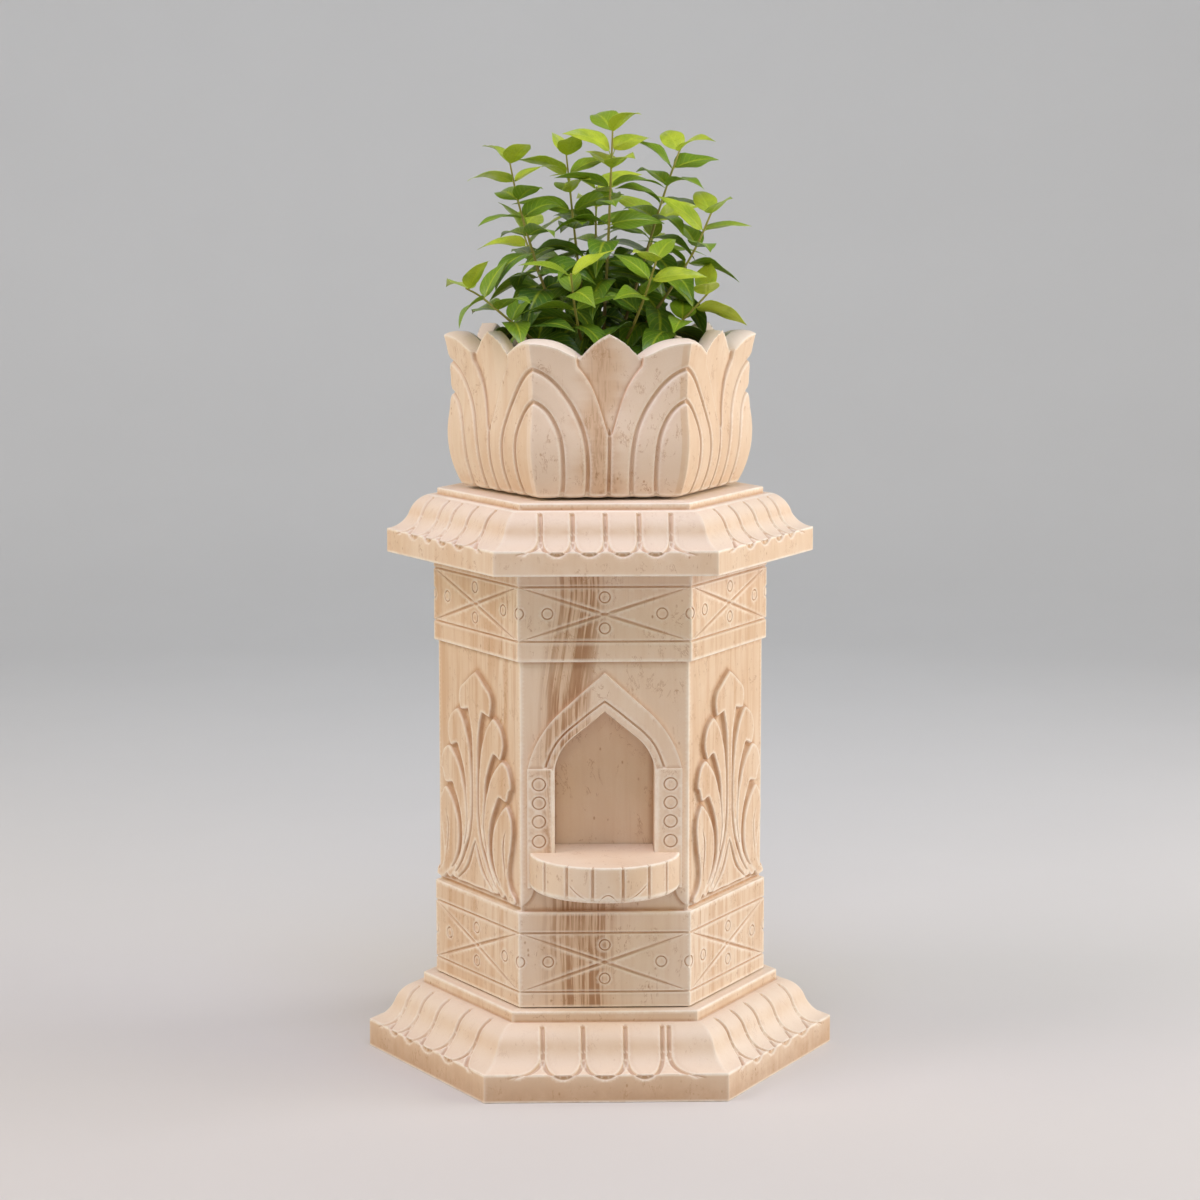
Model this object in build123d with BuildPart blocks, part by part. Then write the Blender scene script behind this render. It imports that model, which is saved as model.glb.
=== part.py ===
from build123d import *
import math
import os

import numpy as np

# Tulsi vrindavan: a carved stone pedestal of three blocks with a lamp niche and a lamp shelf,
# and a lotus pot that stands dry on top of it and holds the plant.
# Frame: origin on the floor under the pedestal's axis, +Z up, the niche faces -Y.
# All sizes are in millimetres. A hexagon is given by the radius of its corners.

# ---- Driving dimensions ----

sides = 6

# Base plinth
base_slab_r = 290.0
base_slab_h = 34.5
base_foot_r = 289.0  # where the moulding meets the slab
base_waist_r = 257.5  # where the hollow curve turns into the round one
base_waist_h = 26.0
base_crown_r = 230.0
base_moulding_h = 47.5
base_hollow_dip = 5.2  # how far a curve stands off its chord
base_round_bulge = 4.6
base_step_r = 221.5
base_step_h = 13.0

# Column
shaft_r = 200.0
band_r = 205.5
lower_band_h = 117.0
shaft_h = 303.0
upper_band_h = 107.6

# Palmette on every side of the shaft but the front
palmette_raise = 6.0
palmette_h = 264.0
palmette_foot_gap = 11.5  # above the lower band
# Right halves of its outlines, in shares of its height. Each corner is (x, height, bulge): the
# bulge is that of the edge that leads to it, to the left of its chord, and 0 is a straight edge.
palmette_stalk = [
    (0, 1.0, 0), (0.14, 0.883, 0.019), (0.126, 0.818, 0), (0.059, 0.832, 0), (0.019, 0.6, -0.012),
    (0.019, 0.345, 0), (0.178, 0.004, -0.034), (0, 0.004, 0),
]
palmette_leaves = [
    [
        (0.16, 0.806, -0.049), (0.037, 0.463, -0.038), (0.11, 0.115, -0.03), (0.117, 0.121, 0),
        (0.07, 0.326, 0.015), (0.164, 0.652, 0.027), (0.216, 0.634, 0),
    ],
    [
        (0.237, 0.62, -0.0235), (0.119, 0.477, -0.017), (0.083, 0.273, -0.0125),
        (0.234, 0, -0.036), (0.258, 0.017, 0), (0.118, 0.223, 0.036), (0.209, 0.459, 0.024),
        (0.268, 0.45, 0), (0.309, 0.519, 0),
    ],
    [
        (0.272, 0.42, -0.015), (0.155, 0.212, -0.031), (0.284, 0, -0.032), (0.348, 0, 0),
        (0.286, 0.114, 0.017), (0.32, 0.322, 0),
    ],
]

# Cornice
cornice_slab_r = 262.5
cornice_slab_h = 29.5
cornice_foot_r = 261.5
cornice_waist_r = 236.0
cornice_waist_h = 18.0
cornice_crown_r = 211.5
cornice_moulding_h = 42.0
cornice_hollow_dip = 3.6
cornice_round_bulge = 4.4
cornice_step_r = 200.5
cornice_step_h = 8.0

# Stone joints
bed_t = 1.5
bed_inset = 5.0
dowel_r = 6.0
dowel_length = 80.0
dowel_ring_r = 115.0
dowel_count = 3
pin_clearance = 0.3

# Niche and its raised surround
surround_raise = 6.0
surround_half_w = 88.8
surround_shoulder_x = 52.0
surround_shoulder_h = 67.0  # above the springing
surround_apex_h = 115.0  # above the springing
surround_bulge = 6.0
niche_half_w = 59.5
niche_depth = 42.5
niche_floor_h = 190.0  # above the column's foot
niche_springing_h = 101.5  # above the niche's floor
niche_shoulder_x = 38.0
niche_shoulder_h = 38.0
niche_apex_h = 69.0
niche_bulge = 4.1

# Lamp shelf
shelf_r = 89.5
shelf_t = 43.0
shelf_foot_chamfer = 4.0
tongue_clearance = 0.5
shelf_bed_t = 1.4
shelf_bed_recess = 3.0
shelf_pin_r = 4.0
shelf_pin_length = 60.0
shelf_pin_spacing = 70.0

# Lotus pot
pot_turn = 2.4  # degrees: the pot is set by hand and isn't quite square to the cornice
pad_r = 18.0
pad_t = 3.0
pad_ring_r = 105.0
pad_count = 3
pot_foot_r = 170.0
pot_foot_h = 3.0
pot_foot_inset = 7.0
pot_waist_r = 185.4
pot_waist_h = 88.0
pot_rim_r = 194.0
pot_belly_bulge = 7.8
pot_flare_dip = 6.2
pot_wall = 26.0
pot_floor_t = 36.0
petal_tip_h = 194.0  # petals on the middle of each side
corner_tip_h = 189.0  # petals on the corners
valley_h = 167.0
valley_x = 36.0
petal_bulge = 5.6
corner_petal_bulge = 6.4
petal_setback = 4.5  # of the middle petals behind the corner petals
petal_join_h = 76.0  # where two corner petals meet
petal_edge_x = 38.0
petal_edge_h = 156.0
petal_edge_bulge = 4.3
seam_half_w = 2.7  # groove below that meeting
seam_top_h = 84.0
vein_half_w = 3.0
vein_depth = 2.8
veins = [  # in each half of a corner petal: (x of its foot, height of its bend, of its apex, bulge)
    (26.5, 56.0, 154.0, 17.0),
    (56.0, 50.0, 116.5, 11.0),
]
drain_r = 12.0
drain_overrun = 1.0  # past the pot's floor, for a clean cut

# Filling
mesh_r = 32.0
mesh_t = 1.5
mesh_hole_r = 3.0
mesh_hole_ring_r = 14.0
mesh_hole_count = 8
gravel_t = 25.0
soil_top_h = 141.0  # above the pot's foot
fill_clearance = 0.3

# Plant
stem_r = 2.2
stem_bury = 25.0
stem_sprout = 14.0
stem_bend_share = 0.45  # of the shorter run at a bend, that the bend's arc takes up
stem_bar_count = 14  # straight bars that stand for a stem when its neighbours' leaves are placed
leaf_node_gap = 22.0
leaf_tip_gap = 5.0  # from the stem's end to its last pair of leaves
leaf_first_gap = 43.0
leaf_pair_turn = 25.0  # degrees round the stem, and a quarter more at every second node
leaf_nudges = [0, 24, -24, 48, -48, 70]  # degrees: a leaf with no room grows round the stem
leaf_roll = 38.0  # degrees that a blade turns about its own length
leaf_droop, leaf_lift = -0.5, 0.8  # rise of a blade for its run, low and high on a stem
leaf_t = 0.8
leaf_shoulder = 0.3  # of a blade's length, from each end to where its hull is at full width
leaf_gap = 0.35
leaf_stem_gap = 0.45
mature_leaf_l, mature_leaf_w = 54.0, 23.0
young_leaf_l, young_leaf_w = 43.0, 16.0
young_share = 0.62  # of the way up a stem, where the young leaves begin
rim_keep_out = 118.0  # no leaf hangs below the petals further out than this
rim_keep_out_h = 6.0

# Where each stem rises from the soil, then the points it passes through, its tip last.
# Each is (x, y, height above the soil).
stem_routes = [
    [(-34, -24, 0), (-70, -52, 30), (-108, -74, 62), (-144, -84, 94), (-163, -88, 104)],
    [(-26, -6, 0), (-46, -14, 42), (-68, -22, 98), (-85, -26, 152), (-101, -28, 207), (-110, -28, 253)],
    [(-8, 14, 0), (-18, 18, 64), (-26, 20, 122), (-33, 22, 184), (-41, 24, 262)],
    [(2, -16, 0), (4, -22, 66), (8, -26, 138), (11, -28, 214), (14, -28, 292)],
    [(12, 8, 0), (32, 10, 62), (52, 12, 126), (70, 14, 188), (86, 16, 236), (98, 16, 268)],
    [(22, -6, 0), (52, -14, 52), (84, -22, 98), (114, -28, 146), (134, -30, 194)],
    [(32, -22, 0), (66, -44, 34), (98, -60, 64), (128, -72, 98)],
    [(-18, 30, 0), (-50, 58, 60), (-78, 84, 120), (-96, 104, 170)],
    [(20, 30, 0), (44, 66, 66), (62, 98, 128), (74, 116, 180)],
    [(0, 44, 0), (2, 62, 74), (-4, 80, 148), (-2, 92, 220)],
    [(-14, -34, 0), (-26, -62, 42), (-34, -88, 84), (-38, -104, 122)],
    [(16, -36, 0), (34, -60, 48), (52, -82, 96), (64, -96, 138)],
]

# ---- Worked-out values ----

to_flat = math.cos(math.radians(180 / sides))  # corner radius to flat distance
face_turns = [-90 + 360 / sides * k for k in range(sides)]
face_pair_turns = face_turns[: sides // 2]

base_top = base_slab_h + base_moulding_h + base_step_h
column_foot = base_top + bed_t
band_top = column_foot + lower_band_h
upper_band_foot = band_top + shaft_h
column_top = upper_band_foot + upper_band_h
cornice_foot = column_top + bed_t
cornice_top = cornice_foot + cornice_slab_h + cornice_moulding_h + cornice_step_h
pot_foot = cornice_top + pad_t
shaft_flat = shaft_r * to_flat
surround_flat = shaft_flat + surround_raise
niche_floor = column_foot + niche_floor_h
springing = niche_floor + niche_springing_h
shelf_foot = niche_floor - shelf_t
niche_back_y = -(shaft_flat - niche_depth)
palmette_foot = band_top + palmette_foot_gap
shelf_pin_z = niche_floor - shelf_t / 2
cavity_floor = pot_foot + pot_floor_t
gravel_top = cavity_floor + gravel_t
soil_top = pot_foot + soil_top_h
rim_top = pot_foot + max(petal_tip_h, corner_tip_h)


def level(height, turn=0.0):
    """A horizontal plane at a height, turned about the vertical axis."""
    return Plane.XY.offset(height).rotated((0, 0, turn))


def side_view(turn):
    """A vertical plane through the axis: local X is outward along a face's normal, local Y is up."""
    angle = math.radians(turn)
    outward = (math.cos(angle), math.sin(angle), 0)
    return Plane(origin=(0, 0, 0), x_dir=outward, z_dir=(outward[1], -outward[0], 0))


def face_view(turn, distance=0.0):
    """A vertical plane parallel to a face: local X runs along the face, local Y is up."""
    angle = math.radians(turn)
    outward = Vector(math.cos(angle), math.sin(angle), 0)
    return Plane(origin=outward * distance, x_dir=(-outward.Y, outward.X, 0), z_dir=outward)


def hexagon(height, corner_r, turn=0.0):
    """A hexagon's sketch on a level plane, with a flat face towards -Y."""
    with BuildSketch(level(height, turn)) as outline:
        RegularPolygon(corner_r, sides)
    return outline.sketch


def mitred_moulding(foot_z, foot_r, waist_h, waist_r, height, crown_r, dip, bulge):
    """Six sides of one moulding profile, hollow below and round above, mitred at the corners."""
    for k, turn in enumerate(face_pair_turns):
        with BuildSketch(side_view(turn)) as profile:
            with BuildLine():
                foot = (foot_r * to_flat, foot_z)
                waist = (waist_r * to_flat, foot_z + waist_h)
                crown = (crown_r * to_flat, foot_z + height)
                Line((0, foot_z), foot)
                SagittaArc(foot, waist, dip)
                SagittaArc(waist, crown, -bulge)
                Line(crown, (0, foot_z + height))
                mirror(about=Plane.YZ)
            make_face()
        mode = Mode.ADD if k == 0 else Mode.INTERSECT
        extrude(profile.sketch, amount=2 * foot_r, both=True, mode=mode)


def dowel_circles(height, circle_r):
    """A ring of circles where the dowels cross a level."""
    with BuildSketch(level(height)) as ring:
        with PolarLocations(dowel_ring_r, dowel_count, start_angle=90):
            Circle(circle_r)
    return ring.sketch


def dowel_sockets(height, direction):
    """Blind holes for half of each dowel, drilled up (+1) or down (-1) from a joint."""
    depth = dowel_length / 2 + bed_t
    holes = dowel_circles(height, dowel_r + pin_clearance)
    extrude(holes, amount=direction * depth, mode=Mode.SUBTRACT)


def arch(plane, half_w, foot_z, spring_z, shoulder_x, shoulder_h, apex_h, bulge):
    """A pointed arch's outline on straight jambs, drawn in a face view."""
    shoulder = (shoulder_x, spring_z + shoulder_h)
    with BuildSketch(plane) as outline:
        with BuildLine():
            Line((0, foot_z), (half_w, foot_z))
            Line((half_w, foot_z), (half_w, spring_z))
            SagittaArc((half_w, spring_z), shoulder, -bulge)
            Line(shoulder, (0, spring_z + apex_h))
            mirror(about=Plane.YZ)
        make_face()
    return outline.sketch


def palmette(turn):
    """A bud on its stalk, and three leaves each side of it, drawn on one side of the shaft."""
    with BuildSketch(face_view(turn, shaft_flat)) as outline:
        for corners in [palmette_stalk, *palmette_leaves]:
            places = [
                (x * palmette_h, palmette_foot + height * palmette_h) for x, height, _ in corners
            ]
            with BuildLine():
                for k, (_, _, bulge) in enumerate(corners):
                    if bulge:
                        SagittaArc(places[k - 1], places[k], bulge * palmette_h)
                    else:
                        Line(places[k - 1], places[k])
            make_face()
        mirror(about=Plane.YZ)
    return outline.sketch


def shelf_pin_circles(distance, circle_r):
    """The lamp shelf's two pins, cut by a plane parallel to the niche's back."""
    with BuildSketch(face_view(-90, distance)) as pair:
        with Locations((0, shelf_pin_z)):
            with GridLocations(shelf_pin_spacing, 1, 2, 1):
                Circle(circle_r)
    return pair.sketch


# ---- Base plinth: slab, petal moulding and step, carved from one block ----

with BuildPart() as base_plinth:
    mitred_moulding(
        base_slab_h,
        base_foot_r,
        base_waist_h,
        base_waist_r,
        base_moulding_h,
        base_crown_r,
        base_hollow_dip,
        base_round_bulge,
    )
    extrude(hexagon(0, base_slab_r), amount=base_slab_h)
    extrude(hexagon(base_top - base_step_h, base_step_r), amount=base_step_h)
    dowel_sockets(base_top, -1)
base_plinth.part.label = "base_plinth"

# ---- Column: lower band, shaft with the niche, upper band, carved from one block ----

with BuildPart() as column_shaft:
    extrude(hexagon(column_foot, shaft_r), amount=column_top - column_foot)
    extrude(hexagon(column_foot, band_r), amount=lower_band_h)
    extrude(hexagon(upper_band_foot, band_r), amount=upper_band_h)
    surround = arch(
        face_view(-90, shaft_flat),
        surround_half_w,
        shelf_foot,
        springing,
        surround_shoulder_x,
        surround_shoulder_h,
        surround_apex_h,
        surround_bulge,
    )
    extrude(surround, amount=surround_raise)
    for turn in face_turns[1:]:
        extrude(palmette(turn), amount=palmette_raise)
    niche = arch(
        face_view(-90, -niche_back_y),
        niche_half_w,
        shelf_foot,
        springing,
        niche_shoulder_x,
        niche_shoulder_h,
        niche_apex_h,
        niche_bulge,
    )
    extrude(niche, amount=niche_depth + surround_raise, mode=Mode.SUBTRACT)
    pin_holes = shelf_pin_circles(-niche_back_y, shelf_pin_r + pin_clearance)
    extrude(pin_holes, amount=-shelf_pin_length / 2, mode=Mode.SUBTRACT)
    dowel_sockets(column_foot, 1)
    dowel_sockets(column_top, -1)
column_shaft.part.label = "column_shaft"

# ---- Lamp shelf: a half-round slab against the surround, its tongue in the foot of the niche ----

tongue_w = 2 * (niche_half_w - tongue_clearance)
tongue_depth = niche_depth + surround_raise - shelf_bed_t
pin_reach_in = shelf_pin_length / 2 - pin_clearance
pin_reach_out = shelf_pin_length / 2 + shelf_bed_t - pin_clearance

with BuildPart() as diya_shelf:
    with BuildSketch(level(niche_floor)):
        with Locations((0, -shaft_flat)):
            Circle(shelf_r)
        with Locations((0, -surround_flat)):
            Rectangle(2 * shelf_r, 2 * shelf_r, align=(Align.CENTER, Align.MIN), mode=Mode.SUBTRACT)
    extrude(amount=-shelf_t)
    front_edge = diya_shelf.edges().filter_by(GeomType.CIRCLE).group_by(Axis.Z)[0]
    chamfer(front_edge, shelf_foot_chamfer)
    with BuildSketch(level(niche_floor)):
        with Locations((0, -surround_flat)):
            Rectangle(tongue_w, tongue_depth, align=(Align.CENTER, Align.MIN))
    extrude(amount=-(shelf_t - shelf_bed_t))
    pin_holes = shelf_pin_circles(-niche_back_y + shelf_bed_t, shelf_pin_r + pin_clearance)
    extrude(pin_holes, amount=shelf_pin_length / 2, mode=Mode.SUBTRACT)
diya_shelf.part.label = "diya_shelf"

with BuildPart() as shelf_mortar:
    with BuildSketch(Plane.YZ.offset(-tongue_w / 2)):
        with BuildLine():
            Polyline(
                (-surround_flat, shelf_foot),
                (niche_back_y, shelf_foot),
                (niche_back_y, niche_floor - shelf_bed_recess),
                (niche_back_y - shelf_bed_t, niche_floor - shelf_bed_recess),
                (niche_back_y - shelf_bed_t, shelf_foot + shelf_bed_t),
                (-surround_flat, shelf_foot + shelf_bed_t),
                close=True,
            )
        make_face()
    extrude(amount=tongue_w)
    pin_holes = shelf_pin_circles(-niche_back_y, shelf_pin_r + pin_clearance)
    extrude(pin_holes, amount=shelf_bed_t, mode=Mode.SUBTRACT)
shelf_mortar.part.label = "shelf_mortar"

with BuildPart() as shelf_pins:
    pin_ends = shelf_pin_circles(-niche_back_y - pin_reach_in, shelf_pin_r)
    extrude(pin_ends, amount=pin_reach_in + pin_reach_out)
shelf_pins.part.label = "shelf_pins"

# ---- Cornice: slab, petal moulding and the step that the pot stands on, one block ----

with BuildPart() as cornice:
    mitred_moulding(
        cornice_foot + cornice_slab_h,
        cornice_foot_r,
        cornice_waist_h,
        cornice_waist_r,
        cornice_moulding_h,
        cornice_crown_r,
        cornice_hollow_dip,
        cornice_round_bulge,
    )
    extrude(hexagon(cornice_foot, cornice_slab_r), amount=cornice_slab_h)
    extrude(hexagon(cornice_top - cornice_step_h, cornice_step_r), amount=cornice_step_h)
    dowel_sockets(cornice_foot, 1)
cornice.part.label = "cornice"

# ---- Bedding and dowels in the two joints between the blocks ----


def bedding(height):
    """A thin bed of mortar, set back from the stone's edge and open at the dowels."""
    extrude(hexagon(height, band_r - bed_inset), amount=bed_t)
    holes = dowel_circles(height, dowel_r + pin_clearance)
    extrude(holes, amount=bed_t, mode=Mode.SUBTRACT)


def dowels(joint_foot):
    """Steel dowels through a joint, half in the block below and half in the block above."""
    dowel_foot = joint_foot + bed_t / 2 - dowel_length / 2
    extrude(dowel_circles(dowel_foot, dowel_r), amount=dowel_length)


with BuildPart() as base_bedding:
    bedding(base_top)
base_bedding.part.label = "base_bedding"

with BuildPart() as cornice_bedding:
    bedding(column_top)
cornice_bedding.part.label = "cornice_bedding"

with BuildPart() as base_dowels:
    dowels(base_top)
base_dowels.part.label = "base_dowels"

with BuildPart() as cornice_dowels:
    dowels(column_top)
cornice_dowels.part.label = "cornice_dowels"

# ---- Lotus pot: twelve petals round a six-sided bowl ----


def cavity_r(height):
    """The corner radius of the pot's cavity, which narrows towards its floor."""
    foot_cavity_r = pot_foot_r - pot_wall / to_flat
    rim_cavity_r = pot_rim_r - pot_wall / to_flat
    share = (height - cavity_floor) / (rim_top - cavity_floor)
    return foot_cavity_r + (rim_cavity_r - foot_cavity_r) * share


def cavity_filling(low, high, gap):
    """What fills the cavity between two heights, held clear of its walls."""
    foot = hexagon(low, cavity_r(low) - gap / to_flat, pot_turn)
    head = hexagon(high, cavity_r(high) - gap / to_flat, pot_turn)
    loft([foot, head], ruled=True)


def pot_block(inset):
    """The pot's outside as one solid, held in by an inset on every side."""
    for k, turn in enumerate(face_pair_turns):
        with BuildSketch(side_view(turn + pot_turn)) as profile:
            with BuildLine():
                sole = ((pot_foot_r - pot_foot_inset) * to_flat - inset, pot_foot)
                foot = (pot_foot_r * to_flat - inset, pot_foot + pot_foot_h)
                waist = (pot_waist_r * to_flat - inset, pot_foot + pot_waist_h)
                rim = (pot_rim_r * to_flat - inset, rim_top)
                Line((0, pot_foot), sole)
                Line(sole, foot)
                SagittaArc(foot, waist, -pot_belly_bulge)
                SagittaArc(waist, rim, pot_flare_dip)
                Line(rim, (0, rim_top))
                mirror(about=Plane.YZ)
            make_face()
        mode = Mode.ADD if k == 0 else Mode.INTERSECT
        extrude(profile.sketch, amount=2 * pot_rim_r, both=True, mode=mode)


def middle_petal(turn):
    """What shows of a middle petal between two corner petals."""
    join = (0, pot_foot + petal_join_h)
    edge = (petal_edge_x, pot_foot + petal_edge_h)
    with BuildSketch(face_view(turn)) as outline:
        with BuildLine():
            SagittaArc(join, edge, petal_edge_bulge)
            Polyline(edge, (petal_edge_x, rim_top), (0, rim_top))
            mirror(about=Plane.YZ)
        make_face()
    return outline.sketch


def petal_grooves(turn):
    """The veins of the corner petals' halves on one side of the pot, and the seam between them."""
    corner_x = pot_rim_r / 2
    with BuildSketch(face_view(turn)) as outline:
        for x, bend_h, apex_h, bulge in veins:
            outer, inner = x - vein_half_w, x + vein_half_w
            bend, apex = pot_foot + bend_h, pot_foot + apex_h
            with BuildLine():
                Line((inner, pot_foot), (outer, pot_foot))
                Line((outer, pot_foot), (outer, bend))
                SagittaArc((outer, bend), (corner_x, apex + vein_half_w), bulge)
                Line((corner_x, apex + vein_half_w), (corner_x, apex - vein_half_w))
                SagittaArc((corner_x, apex - vein_half_w), (inner, bend), -bulge)
                Line((inner, bend), (inner, pot_foot))
            make_face()
        mirror(about=Plane.YZ)
        with Locations((0, pot_foot)):
            Rectangle(2 * seam_half_w, seam_top_h, align=(Align.CENTER, Align.MIN))
    return outline.sketch


with BuildPart() as setback_core:
    pot_block(petal_setback)

with BuildPart() as vein_core:
    pot_block(vein_depth)

with BuildPart() as petal_setbacks:
    for turn in face_turns:
        extrude(middle_petal(turn + pot_turn), amount=2 * pot_rim_r)
    add(setback_core.part, mode=Mode.SUBTRACT)

with BuildPart() as petal_veins:
    for turn in face_turns:
        extrude(petal_grooves(turn + pot_turn), amount=2 * pot_rim_r)
    add(vein_core.part, mode=Mode.SUBTRACT)

with BuildPart() as lotus_pot:
    pot_block(0)
    add(petal_setbacks.part, mode=Mode.SUBTRACT)
    add(petal_veins.part, mode=Mode.SUBTRACT)
    cavity_foot = hexagon(cavity_floor, cavity_r(cavity_floor), pot_turn)
    cavity_mouth = hexagon(rim_top, cavity_r(rim_top), pot_turn)
    loft([cavity_foot, cavity_mouth], ruled=True, mode=Mode.SUBTRACT)
    for turn in face_pair_turns:
        with BuildSketch(face_view(turn + pot_turn)):
            with BuildLine():
                tip = (0, pot_foot + petal_tip_h)
                valley = (valley_x, pot_foot + valley_h)
                corner = (pot_rim_r / 2, pot_foot + corner_tip_h)
                above = rim_top + pot_floor_t
                SagittaArc(tip, valley, petal_bulge)
                SagittaArc(valley, corner, corner_petal_bulge)
                Line(corner, (corner[0], above))
                Line((corner[0], above), (0, above))
                mirror(about=Plane.YZ)
            make_face()
        extrude(amount=2 * pot_rim_r, both=True, mode=Mode.SUBTRACT)
    with BuildSketch(level(pot_foot)):
        Circle(drain_r)
    extrude(amount=pot_floor_t + drain_overrun, mode=Mode.SUBTRACT)
lotus_pot.part.label = "lotus_pot"

with BuildPart() as pot_pads:
    with BuildSketch(level(cornice_top, pot_turn)):
        with PolarLocations(pad_ring_r, pad_count, start_angle=90):
            Circle(pad_r)
    extrude(amount=pad_t)
pot_pads.part.label = "pot_pads"

# ---- Filling: mesh over the drain hole, gravel, soil ----

with BuildPart() as drain_mesh:
    with BuildSketch(level(cavity_floor)):
        Circle(mesh_r)
        Circle(mesh_hole_r, mode=Mode.SUBTRACT)
        with PolarLocations(mesh_hole_ring_r, mesh_hole_count):
            Circle(mesh_hole_r, mode=Mode.SUBTRACT)
    extrude(amount=mesh_t)
drain_mesh.part.label = "drain_mesh"

with BuildPart() as gravel_bed:
    cavity_filling(cavity_floor + fill_clearance, gravel_top, fill_clearance)
    with BuildSketch(level(cavity_floor)):
        Circle(mesh_r + fill_clearance)
    extrude(amount=mesh_t + fill_clearance, mode=Mode.SUBTRACT)
gravel_bed.part.label = "gravel_bed"

with BuildPart() as potting_soil:
    cavity_filling(gravel_top + fill_clearance, soil_top, fill_clearance)
    with BuildSketch(level(soil_top)):
        with Locations(*[route[0][:2] for route in stem_routes]):
            Circle(stem_r + fill_clearance)
    extrude(amount=-(stem_bury + fill_clearance), mode=Mode.SUBTRACT)
potting_soil.part.label = "potting_soil"

# ---- Plant: stems, and leaves in opposite pairs that turn a quarter from node to node ----


def stem_points(route):
    """A stem's corners: straight up out of the soil, then through the points of its route."""
    root, *rest = [Vector(x, y, soil_top + h) for x, y, h in route]
    return [root - Vector(0, 0, stem_bury), root + Vector(0, 0, stem_sprout), *rest]


def bend_radii(points):
    """As large an arc at each corner as its two runs allow."""
    radii = []
    for before, here, after in zip(points, points[1:], points[2:]):
        run_in, run_out = here - before, after - here
        half_turn = math.radians(run_in.get_angle(run_out) / 2)
        radii.append(stem_bend_share * min(run_in.length, run_out.length) / math.tan(half_turn))
    return radii


stem_lines = []

with BuildPart() as tulsi_stems:
    for route in stem_routes:
        points = stem_points(route)
        with BuildLine() as stem_line:
            FilletPolyline(*points, radius=bend_radii(points))
        with BuildSketch(Plane(points[0], z_dir=points[1] - points[0])):
            Circle(stem_r)
        sweep()
        stem_lines.append(stem_line.wire())
tulsi_stems.part.label = "tulsi_stems"


class ClearanceHull:
    """A convex body by its corners, edge directions and face normals, to test leaves for touching."""

    def __init__(self, corners, edges, normals):
        self.corners = np.array(corners, float)
        self.edges = np.array(edges, float)
        self.normals = np.array(normals, float)
        self.centre = self.corners.mean(axis=0)
        self.reach = np.linalg.norm(self.corners - self.centre, axis=1).max()

    def clear_of(self, other, gap):
        """Whether a plane somewhere keeps the two bodies a gap apart."""
        if np.linalg.norm(self.centre - other.centre) > self.reach + other.reach + gap:
            return True
        crossed = np.cross(self.edges[:, None], other.edges[None]).reshape(-1, 3)
        axes = np.vstack([self.normals, other.normals, crossed])
        lengths = np.linalg.norm(axes, axis=1)
        axes = axes[lengths > 1e-6] / lengths[lengths > 1e-6, None]
        mine, theirs = self.corners @ axes.T, other.corners @ axes.T
        apart = np.maximum(theirs.min(axis=0) - mine.max(axis=0), mine.min(axis=0) - theirs.max(axis=0))
        return bool(apart.max() > gap)


def box_hull(start, end, half):
    """The hull of a square bar from start to end."""
    along = (end - start).normalized()
    bar = Plane(start, z_dir=along)
    across, up = bar.x_dir, bar.y_dir
    corners = [
        tuple(point + across * (half * i) + up * (half * j))
        for point in (start, end)
        for i in (-1, 1)
        for j in (-1, 1)
    ]
    directions = [tuple(along), tuple(across), tuple(up)]
    return ClearanceHull(corners, directions, directions)


def leaf_hull(plane, length, width):
    """The hull of a leaf blade that lies in a plane, its base at the plane's origin."""
    half = width / 2
    slope = leaf_shoulder * length
    upper_half = [(0, 0), (slope, half), (length - slope, half)]
    lower_half = [(length, 0), (length - slope, -half), (slope, -half)]
    corners = [
        tuple(plane.from_local_coords((x, y, z)))
        for x, y in upper_half + lower_half
        for z in (-leaf_t / 2, leaf_t / 2)
    ]
    along, across, normal = plane.x_dir, plane.y_dir, plane.z_dir
    edges = [along, along * slope + across * half, along * slope - across * half, normal]
    sides_out = [across, across * slope - along * half, across * slope + along * half, normal]
    return ClearanceHull(corners, [tuple(e) for e in edges], [tuple(s) for s in sides_out])


def stem_bars(line):
    """A stem as a chain of short straight bars."""
    places = [line.position_at(k / stem_bar_count) for k in range(stem_bar_count + 1)]
    return [box_hull(start, end, stem_r) for start, end in zip(places, places[1:])]


def leaf_plane(point, along, share, node, side, nudge):
    """The plane of one leaf of the pair at a node: side is 1 or -1, nudge turns it round the stem."""
    up = Vector(0, 0, 1)
    stem_axis = Axis((0, 0, 0), tuple(along))
    turn = leaf_pair_turn + 90 * (node % 2) + nudge
    sideways = along.cross(up).normalized().rotate(stem_axis, turn)
    rise = leaf_droop + (leaf_lift - leaf_droop) * share
    direction = (sideways * side + up * rise).normalized()
    face_up = (up - direction * direction.dot(up)).normalized()
    roll = leaf_roll * side * (1 if node % 4 < 2 else -1)
    stand_off = stem_r / direction.cross(along).length + leaf_stem_gap
    return Plane(
        point + direction * stand_off,
        x_dir=direction,
        z_dir=face_up.rotate(Axis((0, 0, 0), tuple(direction)), roll),
    )


def has_room(hull, neighbours):
    """Whether a leaf stays off the soil, the pot's petals, and every stem and leaf near it."""
    radial = np.hypot(hull.corners[:, 0], hull.corners[:, 1])
    low = hull.corners[:, 2] < rim_top + rim_keep_out_h
    if hull.corners[:, 2].min() < pot_foot + valley_h or np.any(low & (radial > rim_keep_out)):
        return False
    return all(hull.clear_of(other, leaf_gap) for other in neighbours)


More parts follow.
